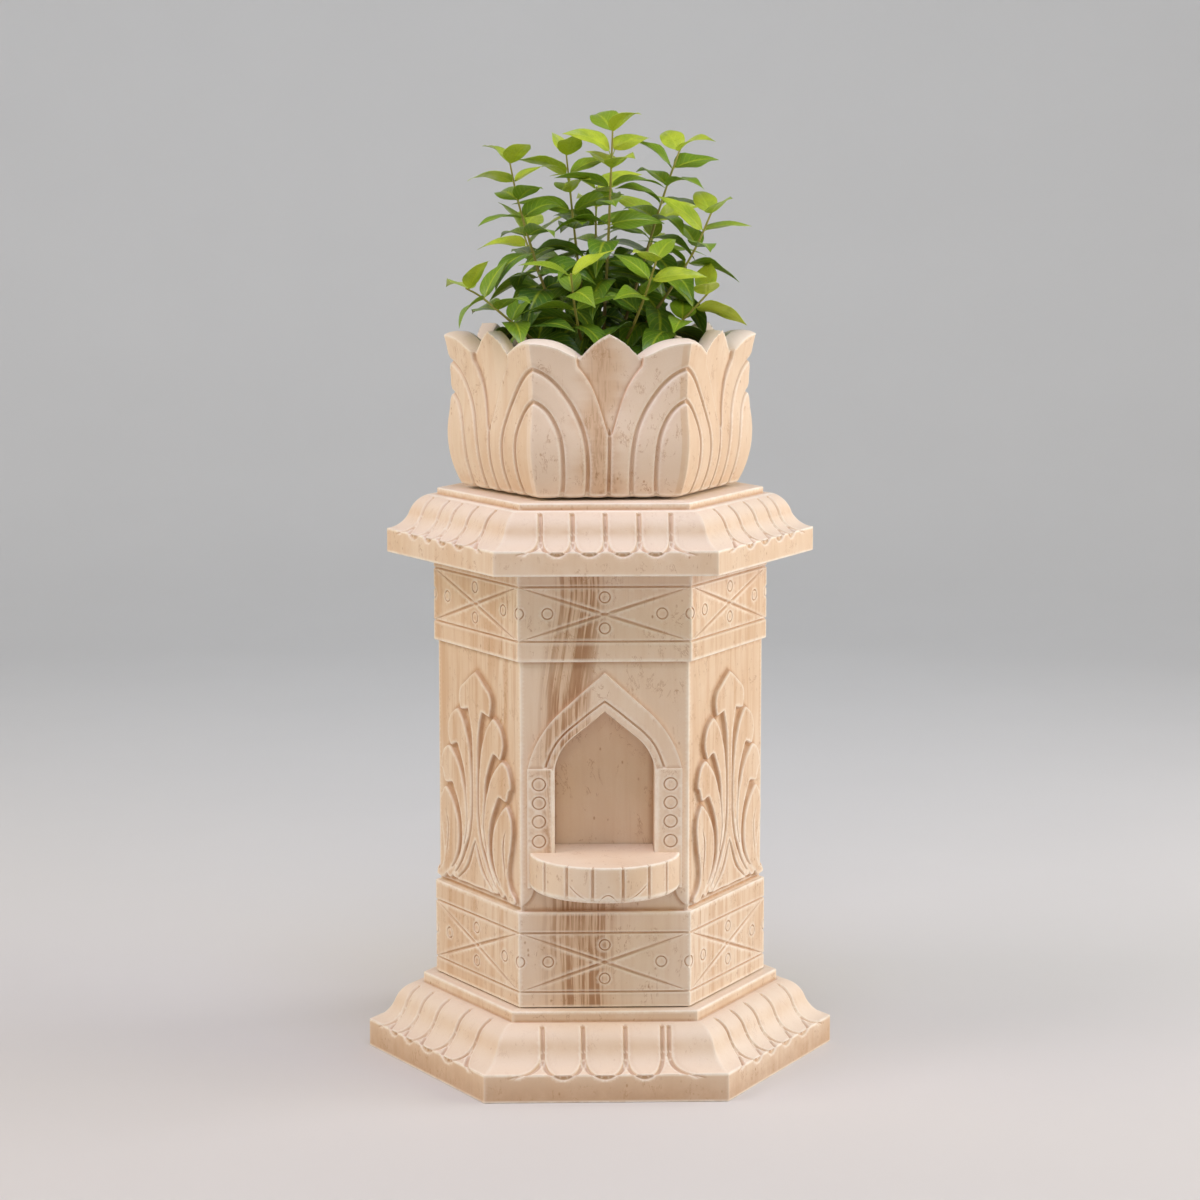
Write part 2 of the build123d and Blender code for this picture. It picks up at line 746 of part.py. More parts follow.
leaf_tries = [(side, nudge) for nudge in leaf_nudges for side in (1, -1)]
stem_hulls = [stem_bars(line) for line in stem_lines]
leaf_hulls = []
mature_planes, young_planes = [], []
for line, own_hulls in zip(stem_lines, stem_hulls):
    other_stems = [hull for hulls in stem_hulls if hulls is not own_hulls for hull in hulls]
    leafy_length = line.length - stem_bury - leaf_first_gap
    grown = set()
    for node in range(int(leafy_length / leaf_node_gap) + 1):
        share = 1 - (leaf_tip_gap + node * leaf_node_gap) / line.length
        young = share > young_share
        length = young_leaf_l if young else mature_leaf_l
        width = young_leaf_w if young else mature_leaf_w
        point, along = line.position_at(share), line.tangent_at(share)
        for side, nudge in leaf_tries:
            plane = leaf_plane(point, along, share, node, side, nudge)
            hull = leaf_hull(plane, length, width)
            if (node, side) not in grown and has_room(hull, leaf_hulls + other_stems):
                grown.add((node, side))
                leaf_hulls.append(hull)
                (young_planes if young else mature_planes).append(plane)


def leaf_outline(length, width):
    """A pointed blade between two arcs, its base at the origin."""
    with BuildSketch(Plane.XY) as outline:
        with BuildLine():
            ThreePointArc((0, 0), (length / 2, width / 2), (length, 0))
            ThreePointArc((0, 0), (length / 2, -width / 2), (length, 0))
        make_face()
    return outline.sketch


with BuildPart() as mature_blade:
    extrude(leaf_outline(mature_leaf_l, mature_leaf_w), amount=leaf_t / 2, both=True)

with BuildPart() as young_blade:
    extrude(leaf_outline(young_leaf_l, young_leaf_w), amount=leaf_t / 2, both=True)

with BuildPart() as mature_leaves:
    with Locations(*[plane.location for plane in mature_planes]):
        add(mature_blade.part)
mature_leaves.part.label = "mature_leaves"

with BuildPart() as young_leaves:
    with Locations(*[plane.location for plane in young_planes]):
        add(young_blade.part)
young_leaves.part.label = "young_leaves"

# ---- Output: one file for each piece ----

pieces = [
    base_plinth,
    base_bedding,
    base_dowels,
    column_shaft,
    diya_shelf,
    shelf_mortar,
    shelf_pins,
    cornice_bedding,
    cornice_dowels,
    cornice,
    pot_pads,
    lotus_pot,
    drain_mesh,
    gravel_bed,
    potting_soil,
    tulsi_stems,
    mature_leaves,
    young_leaves,
]

os.makedirs("parts", exist_ok=True)
for piece in pieces:
    export_step(piece.part, f"parts/{piece.part.label}.step")
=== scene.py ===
import math
import random

import bpy
import numpy as np
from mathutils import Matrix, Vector, geometry, kdtree, noise


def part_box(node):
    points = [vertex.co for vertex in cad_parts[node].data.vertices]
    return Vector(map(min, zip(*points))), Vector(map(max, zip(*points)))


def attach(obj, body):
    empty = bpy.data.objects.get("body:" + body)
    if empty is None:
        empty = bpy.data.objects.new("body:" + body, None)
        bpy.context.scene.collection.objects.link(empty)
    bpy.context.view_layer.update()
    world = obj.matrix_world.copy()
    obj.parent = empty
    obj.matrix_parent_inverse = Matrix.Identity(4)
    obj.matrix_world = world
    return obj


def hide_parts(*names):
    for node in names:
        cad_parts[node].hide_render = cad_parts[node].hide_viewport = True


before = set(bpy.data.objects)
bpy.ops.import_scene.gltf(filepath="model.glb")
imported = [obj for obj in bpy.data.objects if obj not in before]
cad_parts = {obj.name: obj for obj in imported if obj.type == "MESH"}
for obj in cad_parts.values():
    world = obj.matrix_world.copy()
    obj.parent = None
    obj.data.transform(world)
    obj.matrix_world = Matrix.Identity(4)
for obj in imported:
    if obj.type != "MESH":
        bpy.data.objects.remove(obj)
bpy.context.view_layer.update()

# Tulsi vrindavan: carved stone pedestal, lamp shelf, lotus pot and plant.
# The carving is worked out in millimetres, side by side of each six-sided block, in a flat
# plane: t runs to the right as seen from outside, s runs up along the block's section.

# ---- Driving dimensions (millimetres) ----

MM = 0.001
sides = 6
cos_half = math.cos(math.pi / sides)
tan_half = math.tan(math.pi / sides)
arris = 1.1  # worn edge of the stone
mitre_gap = arris * 0.6  # from the mesh of one side to the line where two sides meet
least_turn = 0.3  # sine of the smallest turn in a section that is worn like an edge
row_gap = 2.4  # between the rows that two sides share at their mitre
fine_gap, coarse_gap = 2.6, 6.0  # between a mesh's spots, near the carving and away from it


def box_mm(node):
    low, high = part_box(node)
    return [value / MM for value in low], [value / MM for value in high]


base_low, base_high = box_mm("base_plinth")
column_low, column_high = box_mm("column_shaft")
cornice_low, cornice_high = box_mm("cornice")
shelf_low, shelf_high = box_mm("diya_shelf")
pot_low, pot_high = box_mm("lotus_pot")
soil_low, soil_high = box_mm("potting_soil")

base_slab_r = base_high[0]
base_top = base_high[2]
base_slab_h = 34.5
base_foot_r, base_waist_r, base_crown_r, base_step_r = 289.0, 257.5, 230.0, 221.5
base_waist_h, base_moulding_h = 26.0, 47.5
base_hollow_dip, base_round_bulge = 5.2, 4.6

column_foot = column_low[2]
column_top = column_high[2]
band_r = column_high[0]
shaft_r = 200.0
lower_band_h = 117.0
shaft_h = 303.0
shaft_foot = column_foot + lower_band_h
upper_band_foot = column_foot + lower_band_h + shaft_h
shaft_flat = shaft_r * cos_half

cornice_foot = cornice_low[2]
cornice_top = cornice_high[2]
cornice_slab_r = cornice_high[0]
cornice_slab_h = 29.5
cornice_foot_r, cornice_waist_r, cornice_crown_r, cornice_step_r = 261.5, 236.0, 211.5, 200.5
cornice_waist_h, cornice_moulding_h = 18.0, 42.0
cornice_hollow_dip, cornice_round_bulge = 3.6, 4.4

niche_half_w, niche_depth = 59.5, 42.5
niche_springing = column_foot + 190.0 + 101.5
niche_shoulder = (38.0, 38.0)
niche_apex_h = 69.0
niche_bulge = 4.1
surround_raise, surround_half_w = 6.0, 88.8
surround_shoulder = (52.0, 67.0)
surround_apex_h = 115.0
surround_bulge = 6.0

shelf_r = 89.5
shelf_foot, shelf_top = shelf_low[2], shelf_high[2]

pot_turn = 2.4
pot_foot = pot_low[2]
pot_foot_r, pot_foot_inset, pot_foot_h = 170.0, 7.0, 3.0
pot_waist_r, pot_waist_h = 185.4, 88.0
pot_rim_r = 194.0
pot_belly_bulge, pot_flare_dip = 7.8, 6.2
pot_wall, pot_floor_t = 26.0, 36.0
petal_tip_h = pot_high[2] - pot_foot
corner_tip_h, valley_h, valley_x = 189.0, 167.0, 36.0
corner_petal_bulge = 6.4
drain_r = 12.0


# ---- Plane geometry ----

def arc_points(start, end, sagitta, count=12):
    """Points of an arc from start to end; a positive sagitta bulges to the left of the chord."""
    start, end = np.array(start, float), np.array(end, float)
    chord = end - start
    length = np.linalg.norm(chord)
    along = chord / length
    side = np.array([-along[1], along[0]]) * math.copysign(1.0, sagitta)
    radius = (length ** 2 / 4 + sagitta ** 2) / (2 * abs(sagitta))
    centre = (start + end) / 2 + side * (abs(sagitta) - radius)
    half = math.asin(length / 2 / radius)
    return [tuple(centre + radius * (side * math.cos(a) + along * math.sin(a)))
            for a in np.linspace(-half, half, count)]


def smooth_line(points, gap=2.4, closed=False):
    """A Catmull-Rom curve through the points, sampled at an even gap."""
    points = [np.array(p, float) for p in points]
    if closed:
        ring = [points[-1]] + points + points[:2]
    else:
        ring = [2 * points[0] - points[1]] + points + [2 * points[-1] - points[-2]]
    curve = []
    for p0, p1, p2, p3 in zip(ring, ring[1:], ring[2:], ring[3:]):
        for u in np.linspace(0, 1, 13)[:-1]:
            curve.append(0.5 * (2 * p1 + (p2 - p0) * u + (2 * p0 - 5 * p1 + 4 * p2 - p3) * u ** 2
                                + (3 * p1 - p0 - 3 * p2 + p3) * u ** 3))
    curve.append(curve[0] if closed else points[-1])
    return resample(curve, gap)


def resample(points, gap):
    """The same line with its points an even gap apart."""
    points = np.array(points, float)
    steps = np.linalg.norm(np.diff(points, axis=0), axis=1)
    run = np.concatenate([[0], np.cumsum(steps)])
    count = max(2, int(math.ceil(run[-1] / gap)) + 1)
    at = np.linspace(0, run[-1], count)
    return np.stack([np.interp(at, run, points[:, 0]), np.interp(at, run, points[:, 1])], 1)


def polyline(points, gap=2.4):
    """Straight runs through the points, with each corner kept and each run sampled."""
    points = [np.array(p, float) for p in points]
    out = [points[0]]
    for a, b in zip(points, points[1:]):
        count = max(1, int(math.ceil(np.linalg.norm(b - a) / gap)))
        out += [a + (b - a) * (i + 1) / count for i in range(count)]
    return np.array(out)


def mirrored(points):
    return np.array([(-x, y) for x, y in points])


def line_distance(spots, line):
    """Distance of each spot from a polyline, and how far along it the nearest place is (0-1)."""
    start, end = line[:-1], line[1:]
    run = end - start
    length2 = np.maximum((run ** 2).sum(1), 1e-12)
    best = np.full(len(spots), 1e9)
    where = np.zeros(len(spots))
    for first in range(0, len(spots), 4000):
        block = spots[first:first + 4000]
        gap = block[:, None, :] - start[None]
        u = np.clip((gap * run[None]).sum(2) / length2, 0, 1)
        off = gap - u[..., None] * run[None]
        d2 = (off ** 2).sum(2)
        pick = d2.argmin(1)
        rows = np.arange(len(block))
        best[first:first + 4000] = np.sqrt(d2[rows, pick])
        where[first:first + 4000] = (pick + u[rows, pick]) / len(start)
    return best, where


def inside(spots, outline):
    """Which spots lie inside a closed outline."""
    x, y = spots[:, 0][:, None], spots[:, 1][:, None]
    x0, y0 = outline[:, 0][None], outline[:, 1][None]
    x1, y1 = np.roll(outline[:, 0], -1)[None], np.roll(outline[:, 1], -1)[None]
    crosses = (y0 > y) != (y1 > y)
    rise = np.where(y1 == y0, 1e-9, y1 - y0)
    return (crosses & (x < (x1 - x0) * (y - y0) / rise + x0)).sum(1) % 2 == 1


def bell(distance, width):
    """1 at no distance, falling off smoothly over the width."""
    return np.exp(-(distance / width) ** 2)


def closed_line(outline):
    return np.vstack([outline, outline[:1]])


def closed_run(points, gap=2.4):
    """A closed outline with its corners kept and each run sampled."""
    return polyline(points + points[:1], gap)[:-1]


def split_line(line, keep):
    """The runs of the line whose points are all kept."""
    runs, current = [], []
    for point, good in zip(line, keep):
        if good:
            current.append(point)
        elif current:
            runs.append(np.array(current))
            current = []
    if current:
        runs.append(np.array(current))
    return [run for run in runs if len(run) > 1]


def offset_lines(line, distance):
    """The line moved sideways, cut wherever it would fold over itself."""
    run = np.gradient(line, axis=0)
    run /= np.maximum(np.linalg.norm(run, axis=1), 1e-9)[:, None]
    moved = line + np.stack([-run[:, 1], run[:, 0]], 1) * distance
    return split_line(moved, line_distance(moved, line)[0] > abs(distance) * 0.93)


def union_distance(spots, outlines):
    """Distance inside (positive) or outside (negative) the outlines taken together."""
    best = np.full(len(spots), -1e9)
    for outline in outlines:
        distance = line_distance(spots, closed_line(outline))[0]
        best = np.maximum(best, np.where(inside(spots, outline), distance, -distance))
    return best


def inner_dots(dots, outline, margin):
    """The dots inside an outline and off its border."""
    dots = dots[inside(dots, outline)]
    return dots[line_distance(dots, closed_line(outline))[0] > margin]


# ---- Carving ----

class Carving:
    """What is cut into one side of a block, or stands proud of it."""

    def __init__(self, shoulder=0.0, painted_shade=0.8):
        self.shoulder, self.painted_shade = shoulder, painted_shade
        self.grooves, self.fields, self.guides = [], [], []

    def groove(self, line, half, depth, taper=None, sharp=False):
        """A channel along the line; taper gives its width's share along its length."""
        self.grooves.append((line, half, depth, taper, sharp))
        for share in (0.5, 1.0):
            for side in (-1, 1):
                self.guides += offset_lines(line, side * half * share)
        self.guides.append(line)

    def field(self, outlines, height, slope, wall_shade=0.0):
        """Outlines that stand height above the face (or below it), with walls slope wide, and shade
        painted on the walls as strong as the last value.
        """
        self.fields.append((outlines, height, slope, wall_shade))
        for outline in outlines:
            closed = closed_line(outline)
            hidden = np.zeros(len(closed), bool)
            for other in outlines:
                if other is not outline:
                    gap = line_distance(closed, closed_line(other))[0]
                    hidden |= inside(closed, other) & (gap > 0.4)
            self.guides += split_line(closed, ~hidden)
            for share in (0.35, 0.8):
                for side in (-1, 1):
                    for piece in offset_lines(closed, side * slope * share):
                        union = union_distance(piece, outlines)
                        self.guides += split_line(piece, np.abs(union + slope * share) < 0.4)

    def relief(self, spots):
        """Height, painted shade in hollows, and pale edges (wear and painted highlight) at each spot."""
        raised, sunk, cuts, stain, worn = np.zeros((5, len(spots)))
        for outlines, rise, slope, wall_shade in self.fields:
            reach = union_distance(spots, outlines)
            lift = (rise(spots) if callable(rise) else rise) * np.clip(1 + reach / slope, 0, 1)
            raised = np.maximum(raised, lift)
            sunk = np.minimum(sunk, lift)
            proud = lift.max() > 0
            crest, foot = (0.5 - reach, reach + slope) if proud else (reach + slope + 0.5, -reach)
            # Painted highlight along each crest; painted shade at the foot of each wall, and on the wall
            # by the wall value.
            worn = np.maximum(worn, bell(crest, 1.0))
            painted_light = np.where(foot < 0, 0.75 * bell(foot, 2.2), np.clip(1.1 - foot / slope, 0, 0.8))
            shade = wall_shade * np.clip((foot + 0.4) / 0.8, 0, 1) * np.clip((0.1 - reach) / 0.5, 0, 1)
            stain = np.maximum(stain, np.maximum(painted_light, shade))
        for line, half, depth, taper, sharp in self.grooves:
            distance, where = line_distance(spots, line)
            share = 1.0 if taper is None else np.interp(where, *taper)
            width = half * share
            u = distance / width
            shape = np.clip(1 - u, 0, 1) if sharp else np.clip(1 - u ** 2.6, 0, 1)
            past = np.maximum(distance - width, 0)
            shoulder = self.shoulder * bell(past, 3.0) * min(1.0, half / 2.4) * share
            cuts = np.maximum(cuts, depth * share * shape + shoulder)
            # Painted shade in each groove and beside it; a pale lip along it that is wear and painted
            # highlight.
            stain = np.maximum(stain, np.clip(1.25 - u, 0, 1) * self.painted_shade)
            stain = np.maximum(stain, 0.18 * bell(past, 3.0) * share)
            worn = np.maximum(worn, bell(past - 0.6, 1.0) * (u > 0.94) * share)
        return raised + sunk - cuts, stain, worn


# ---- Sections of six-sided blocks ----

class Section:
    """A block's outline from the middle of its underside to the middle of its top."""

    def __init__(self, corners, edge=arris):
        corners = [np.array(c, float) for c in corners]
        points, marks = [corners[0]], []
        for index in range(1, len(corners) - 1):
            corner = corners[index]
            before, after = corners[index - 1] - corner, corners[index + 1] - corner
            len_before, len_after = np.linalg.norm(before), np.linalg.norm(after)
            turn = (-before[0] * after[1] + before[1] * after[0]) / (len_before * len_after)
            if abs(turn) < least_turn:
                points.append(corner)
                continue
            cut = edge * 0.5 if turn < 0 else edge
            for way, length in ((before, len_before), (after, len_after)):
                points.append(corner + way / length * min(cut, length * 0.4))
                marks.append((len(points) - 1, turn > 0))
        self.points = np.array(points + [corners[-1]])
        steps = np.linalg.norm(np.diff(self.points, axis=0), axis=1)
        self.run = np.concatenate([[0], np.cumsum(steps)])
        self.marks = [(self.run[i], convex) for i, convex in marks]
        self.length = self.run[-1]

    def out(self, s):
        return np.interp(s, self.run, self.points[:, 0])

    def up(self, s):
        return np.interp(s, self.run, self.points[:, 1])

    def at_height(self, z):
        """The place along the section where it passes a height, going up."""
        return float(np.interp(z, self.points[:, 1], self.run))

    def on_face(self, points):
        """Points given by height turned into places along the section."""
        return [(t, self.at_height(z)) for t, z in points]

    def normal(self, s, reach=1.6):
        low, high = np.clip(s - reach, 0, self.length), np.clip(s + reach, 0, self.length)
        a, z = self.up(high) - self.up(low), self.out(low) - self.out(high)
        size = np.maximum(np.hypot(a, z), 1e-9)
        return a / size, z / size

    def rows(self, extra=()):
        """Places along the section that every side shares at its ends."""
        fixed = sorted({0.0, self.length} | {float(m) for m, _ in self.marks} | {float(e) for e in extra})
        fixed = [v for i, v in enumerate(fixed) if i == 0 or v - fixed[i - 1] > 0.05]
        rows = []
        for low, high in zip(fixed, fixed[1:]):
            count = max(1, int(math.ceil((high - low) / row_gap)))
            rows += list(np.linspace(low, high, count + 1)[:-1])
        return np.array(rows + [fixed[-1]])

    def levels(self, limit, top):
        """A line across the face at each of the section's corners below the top."""
        return [polyline([(-float(limit(m)), m), (float(limit(m)), m)], 4.0)
                for m, _ in self.marks if m < top]


# ---- Meshes ----

class Shell:
    """Vertices, faces and the values that the materials read, for one mesh."""

    def __init__(self):
        self.spots, self.faces, self.count = [], [], 0
        self.values = {"stain": [], "worn": [], "ribs": []}

    def add(self, spots, faces=(), **values):
        first = self.count
        self.spots.append(np.asarray(spots, float))
        self.count += len(spots)
        for name, kept in self.values.items():
            kept.append(np.broadcast_to(values.get(name, 0.0), len(spots)))
        self.faces += [[first + i for i in face] for face in faces]
        return first

    def build(self, name, sharp_angle=24.0):
        mesh = bpy.data.meshes.new(name)
        mesh.from_pydata((np.vstack(self.spots) * MM).tolist(), [], self.faces)
        for attribute, values in self.values.items():
            data = mesh.attributes.new(attribute, "FLOAT", "POINT")
            data.data.foreach_set("value", np.concatenate(values).astype(np.float32))
        mesh.validate()
        mesh.polygons.foreach_set("use_smooth", [True] * len(mesh.polygons))
        mesh.set_sharp_from_angle(angle=math.radians(sharp_angle))
        piece = bpy.data.objects.new(name, mesh)
        bpy.context.scene.collection.objects.link(piece)
        return piece


def triangulate(outline, lines=(), dots=(), hole=None):
    """Triangles inside the outline that follow the lines; gives spots and faces."""
    coords, edges = [], []

    def chain(points, closed):
        first = len(coords)
        coords.extend(Vector((float(x), float(y))) for x, y in points)
        last = len(coords) - 1
        edges.extend((i, i + 1) for i in range(first, last))
        if closed:
            edges.append((last, first))

    chain(outline, True)
    if hole is not None:
        chain(hole, True)
    for line in lines:
        chain(line, False)
    coords.extend(Vector((float(x), float(y))) for x, y in dots)
    result = geometry.delaunay_2d_cdt(coords, edges, [], 1, 1e-5, False)
    spots = np.array([tuple(p) for p in result[0]])
    faces = np.array([tuple(f) for f in result[2]], int)
    a, b, c = spots[faces[:, 0]], spots[faces[:, 1]], spots[faces[:, 2]]
    area = (b[:, 0] - a[:, 0]) * (c[:, 1] - a[:, 1]) - (b[:, 1] - a[:, 1]) * (c[:, 0] - a[:, 0])
    faces[area < 0] = faces[area < 0][:, ::-1]
    keep = inside((a + b + c) / 3, np.array(outline))
    if hole is not None:
        keep &= ~inside((a + b + c) / 3, np.array(hole))
    return spots, without_slivers(spots, faces[keep])


def without_slivers(spots, faces):
    """The faces less the slivers of no height whose long side no other face shares."""
    while True:
        ends = spots[faces]
        runs = np.linalg.norm(ends - np.roll(ends, -1, axis=1), axis=2)
        longest = runs.argmax(1)
        rows = np.arange(len(faces))
        thin = runs.sum(1) - 2 * runs[rows, longest] < 1e-4 * runs[rows, longest]
        pairs = np.sort(np.stack([faces, np.roll(faces, -1, axis=1)], 2), axis=2)
        codes = pairs[..., 0] * len(spots) + pairs[..., 1]
        kinds, counts = np.unique(codes, return_counts=True)
        alone = counts[np.searchsorted(kinds, codes[rows, longest])] == 1
        if not (thin & alone).any():
            return faces
        faces = faces[~(thin & alone)]


def clip_lines(lines, limit, top, margin=0.35):
    """The lines kept inside |t| < limit(s) and 0 < s < top."""
    kept = []
    for line in lines:
        ok = (np.abs(line[:, 0]) < limit(line[:, 1]) - margin)
        ok &= (line[:, 1] > margin) & (line[:, 1] < top - margin)
        kept += split_line(line, ok)
    return kept


def clear_of(lines, hole, margin=0.4):
    """The lines kept outside a hole and off its border."""
    kept = []
    for line in lines:
        gap = line_distance(line, closed_line(hole))[0]
        kept += split_line(line, ~inside(line, hole) & (gap > margin))
    return kept


def search_tree(spots):
    tree = kdtree.KDTree(len(spots))
    for index, (x, y) in enumerate(spots):
        tree.insert((x, y, 0), index)
    tree.balance()
    return tree


def nearest(spots, wanted):
    """The index of the spot nearest to each wanted place."""
    tree = search_tree(spots)
    return [tree.find((x, y, 0))[1] for x, y in wanted]


def grid_dots(limit, top, lines, fine=fine_gap, coarse=coarse_gap):
    """Evenly staggered dots, close together near the lines and sparse elsewhere."""
    tree = search_tree(np.vstack(lines))
    dots = []
    for gap, reach_low, reach_high in ((fine, 0.75 * fine, 3.2 * fine), (coarse, 3.2 * fine, 1e9)):
        for index, s in enumerate(np.arange(gap * 0.6, top - gap * 0.4, gap * 0.87)):
            reach = limit(s) - 0.6 * gap
            t = np.arange(-reach + (index % 2) * gap / 2, reach, gap)
            row = np.stack([t, np.full(len(t), s)], 1)
            distance = np.array([tree.find((x, y, 0))[2] for x, y in row])
            dots.append(row[(distance > reach_low) & (distance <= reach_high)])
    return np.vstack(dots)


def strip_outline(limit, rows, foot=(), top=()):
    """Both edges of a side at the shared rows, with spots along its foot and its top."""
    right = np.stack([limit(rows), rows], 1)
    return np.vstack([*foot, right, *top, right[::-1] * [-1, 1]])


def level_line(limit, s, shares):
    """Spots across a side at one place along its section; the shares run from -1 to 1."""
    return np.stack([shares * limit(s), np.full(len(shares), s)], 1)


def edge_spots(t, s, limit, sign):
    """The spots on the right (1) or left (-1) edge of a side, from its foot to its top."""
    found = np.where(np.abs(sign * t - limit(s)) < 1e-3)[0]
    return found[np.argsort(s[found])]


def level_spots(t, s, value):
    """The spots across a side at one place along its section, from left to right."""
    found = np.where(np.abs(s - value) < 1e-3)[0]
    return found[np.argsort(t[found])]


def to_space(side, out, t, z, turn=0.0):
    """Places on one side of a block, by distance from the axis, place across and height."""
    angle = math.radians(-90 + 360 / sides * side + turn)
    x = out * math.cos(angle) - t * math.sin(angle)
    y = out * math.sin(angle) + t * math.cos(angle)
    return np.column_stack([x, y, z])


class Patch:
    """One side of a block: its flat triangulation and the relief on it."""

    def __init__(self, section, carving, rows, hole=None, fine=fine_gap, coarse=coarse_gap,
                 edge_wear_highlight=0.85):
        def limit(s):
            return section.out(s) * tan_half - mitre_gap

        outline = strip_outline(limit, rows)
        lines = clip_lines(carving.guides, limit, section.length)
        if hole is not None:
            lines = clear_of(lines, np.array(hole))
        levels = section.levels(limit, section.length)
        near = [outline] + lines + levels + ([np.array(hole)] if hole is not None else [])
        dots = grid_dots(limit, section.length, near, fine, coarse)
        if hole is not None:
            dots = dots[~inside(dots, np.array(hole))]
        self.spots, self.faces = triangulate(outline, lines + levels, dots, hole)
        t, s = self.spots[:, 0], self.spots[:, 1]
        height, stain, worn = carving.relief(self.spots)
        # Painted highlight along the section's convex turns and painted shade in its concave ones; the
        # mitre edges are made pale with wear and painted highlight.
        for mark, convex in section.marks:
            if convex:
                worn = np.maximum(worn, bell(s - mark, 1.3))
            else:
                stain = np.maximum(stain, bell(s - mark, 1.3) * 0.7)
        self.stain = stain
        self.worn = np.maximum(worn, bell(limit(s) - np.abs(t), 1.6) * edge_wear_highlight)
        na, nz = section.normal(s)
        base = section.out(s)
        self.out = base + na * height
        self.up = section.up(s) + nz * height
        self.t = t * self.out / np.maximum(base, 1e-6)
        self.right_rim = edge_spots(t, s, limit, 1)
        self.left_rim = edge_spots(t, s, limit, -1)
        self.low_rim = level_spots(t, s, 0.0)
        self.high_rim = level_spots(t, s, section.length)


def build_block(patches, turn=0.0):
    """Six sides joined at their mitres; gives the shell and its open rings below and above."""
    shell = Shell()
    firsts = []
    for side, patch in enumerate(patches):
        spots = to_space(side, patch.out, patch.t, patch.up, turn)
        firsts.append(shell.add(spots, patch.faces.tolist(), stain=patch.stain, worn=patch.worn))
    for side, patch in enumerate(patches):
        other = (side + 1) % sides
        here, there = patch.right_rim + firsts[side], patches[other].left_rim + firsts[other]
        for i in range(len(here) - 1):
            shell.faces.append([here[i], there[i], there[i + 1], here[i + 1]])
    low = [first + i for first, patch in zip(firsts, patches) for i in patch.low_rim]
    high = [first + i for first, patch in zip(firsts, patches) for i in patch.high_rim]
    return shell, low, high


def capped_block(patches):
    shell, low, high = build_block(patches)
    shell.faces += [low[::-1], high]
    return shell


def join_rings(shell, first, second):
    """A band of faces between two closed rings of the same length."""
    for i in range(len(first)):
        j = (i + 1) % len(first)
        shell.faces.append([first[i], first[j], second[j], second[i]])


def fill_ring(shell, ring, outline, place, dots=(), hole=None, flip=False, stain=None):
    """Closes a ring of the shell with a flat face; gives where its spots start, and the spots."""
    flat, faces = triangulate(outline, dots=dots, hole=hole)
    start = shell.add(place(flat), stain=0.0 if stain is None else stain(flat))
    merge = {start + i: corner for i, corner in zip(nearest(flat, outline), ring)}
    for face in faces[:, ::-1].tolist() if flip else faces.tolist():
        shell.faces.append([merge.get(start + i, start + i) for i in face])
    return start, flat


# ---- Materials ----

class Graph:
    """A new material, and short names for building its nodes."""

    def __init__(self, name):
        self.material = bpy.data.materials.new(name)
        self.material.use_nodes = True
        self.nodes, self.links = self.material.node_tree.nodes, self.material.node_tree.links
        self.nodes.clear()
        output = self.node("OutputMaterial")
        self.shader = self.node("BsdfPrincipled")
        self.links.new(self.shader.outputs["BSDF"], output.inputs["Surface"])
        self.place = self.node("TexCoord").outputs["Object"]

    def node(self, kind, **inputs):
        node = self.nodes.new("ShaderNode" + kind)
        for name, value in inputs.items():
            self.put(node.inputs[name.replace("_", " ")], value)
        return node

    def put(self, socket, value):
        if hasattr(value, "is_output"):
            self.links.new(value, socket)
        else:
            socket.default_value = value

    def math(self, operation, a, b=0.0):
        node = self.node("Math")
        node.operation = operation
        self.put(node.inputs[0], a)
        self.put(node.inputs[1], b)
        return node.outputs[0]

    def times(self, first, *others):
        for other in others:
            first = self.math("MULTIPLY", first, other)
        return first

    def size(self, value):
        return self.math("ABSOLUTE", value)

    def ramp(self, value, low, high, start=0.0, end=1.0):
        """Smooth change from start to end as the value goes from low to high."""
        node = self.node("MapRange", Value=value, From_Min=low, From_Max=high, To_Min=start,
                         To_Max=end)
        node.interpolation_type = "SMOOTHSTEP"
        return node.outputs["Result"]

    def mix(self, share, first, second):
        node = self.nodes.new("ShaderNodeMix")
        node.data_type = "RGBA"
        for name, value in (("Factor", share), ("A", first), ("B", second)):
            self.put(node.inputs[name], value)
        return node.outputs["Result"]

    def attribute(self, name):
        node = self.node("Attribute")
        node.attribute_name = name
        return node.outputs["Fac"]

    def parts(self, vector):
        return self.node("SeparateXYZ", Vector=vector).outputs

    def scaled(self, vector, scale, shift=(0, 0, 0)):
        return self.node("Mapping", Vector=vector, Scale=scale, Location=shift).outputs["Vector"]

    def noise(self, vector, scale, detail=4.0, roughness=0.55, distortion=0.0):
        return self.node("TexNoise", Vector=vector, Scale=scale, Detail=detail,
                         Roughness=roughness, Distortion=distortion).outputs["Fac"]

    def bump(self, height, strength, distance, below=None):
        node = self.node("Bump", Strength=strength, Distance=distance, Height=height)
        if below is not None:
            self.links.new(below, node.inputs["Normal"])
        return node.outputs["Normal"]

    def finish(self, colour, roughness, normal, **inputs):
        """Puts colour, roughness and normal on the shader; gives the material."""
        for name, value in (("Base Color", colour), ("Roughness", roughness), ("Normal", normal)):
            self.put(self.shader.inputs[name], value)
        for name, value in inputs.items():
            self.shader.inputs[name.replace("_", " ")].default_value = value
        return self.material


def plain_material(name, colour, roughness, metallic=0.0, scale=400.0, spread=0.15, bump=0.1):
    """A mottled material, for the floor and for the pieces that are seldom seen."""
    graph = Graph(name)
    grain = graph.noise(graph.place, scale, 5.0, 0.5)
    dark, light = ([min(1, c * share) for c in colour] + [1] for share in (1 - spread, 1 + spread))
    return graph.finish(graph.mix(grain, dark, light), roughness,
                        graph.bump(grain, bump, 0.0005), Metallic=metallic)


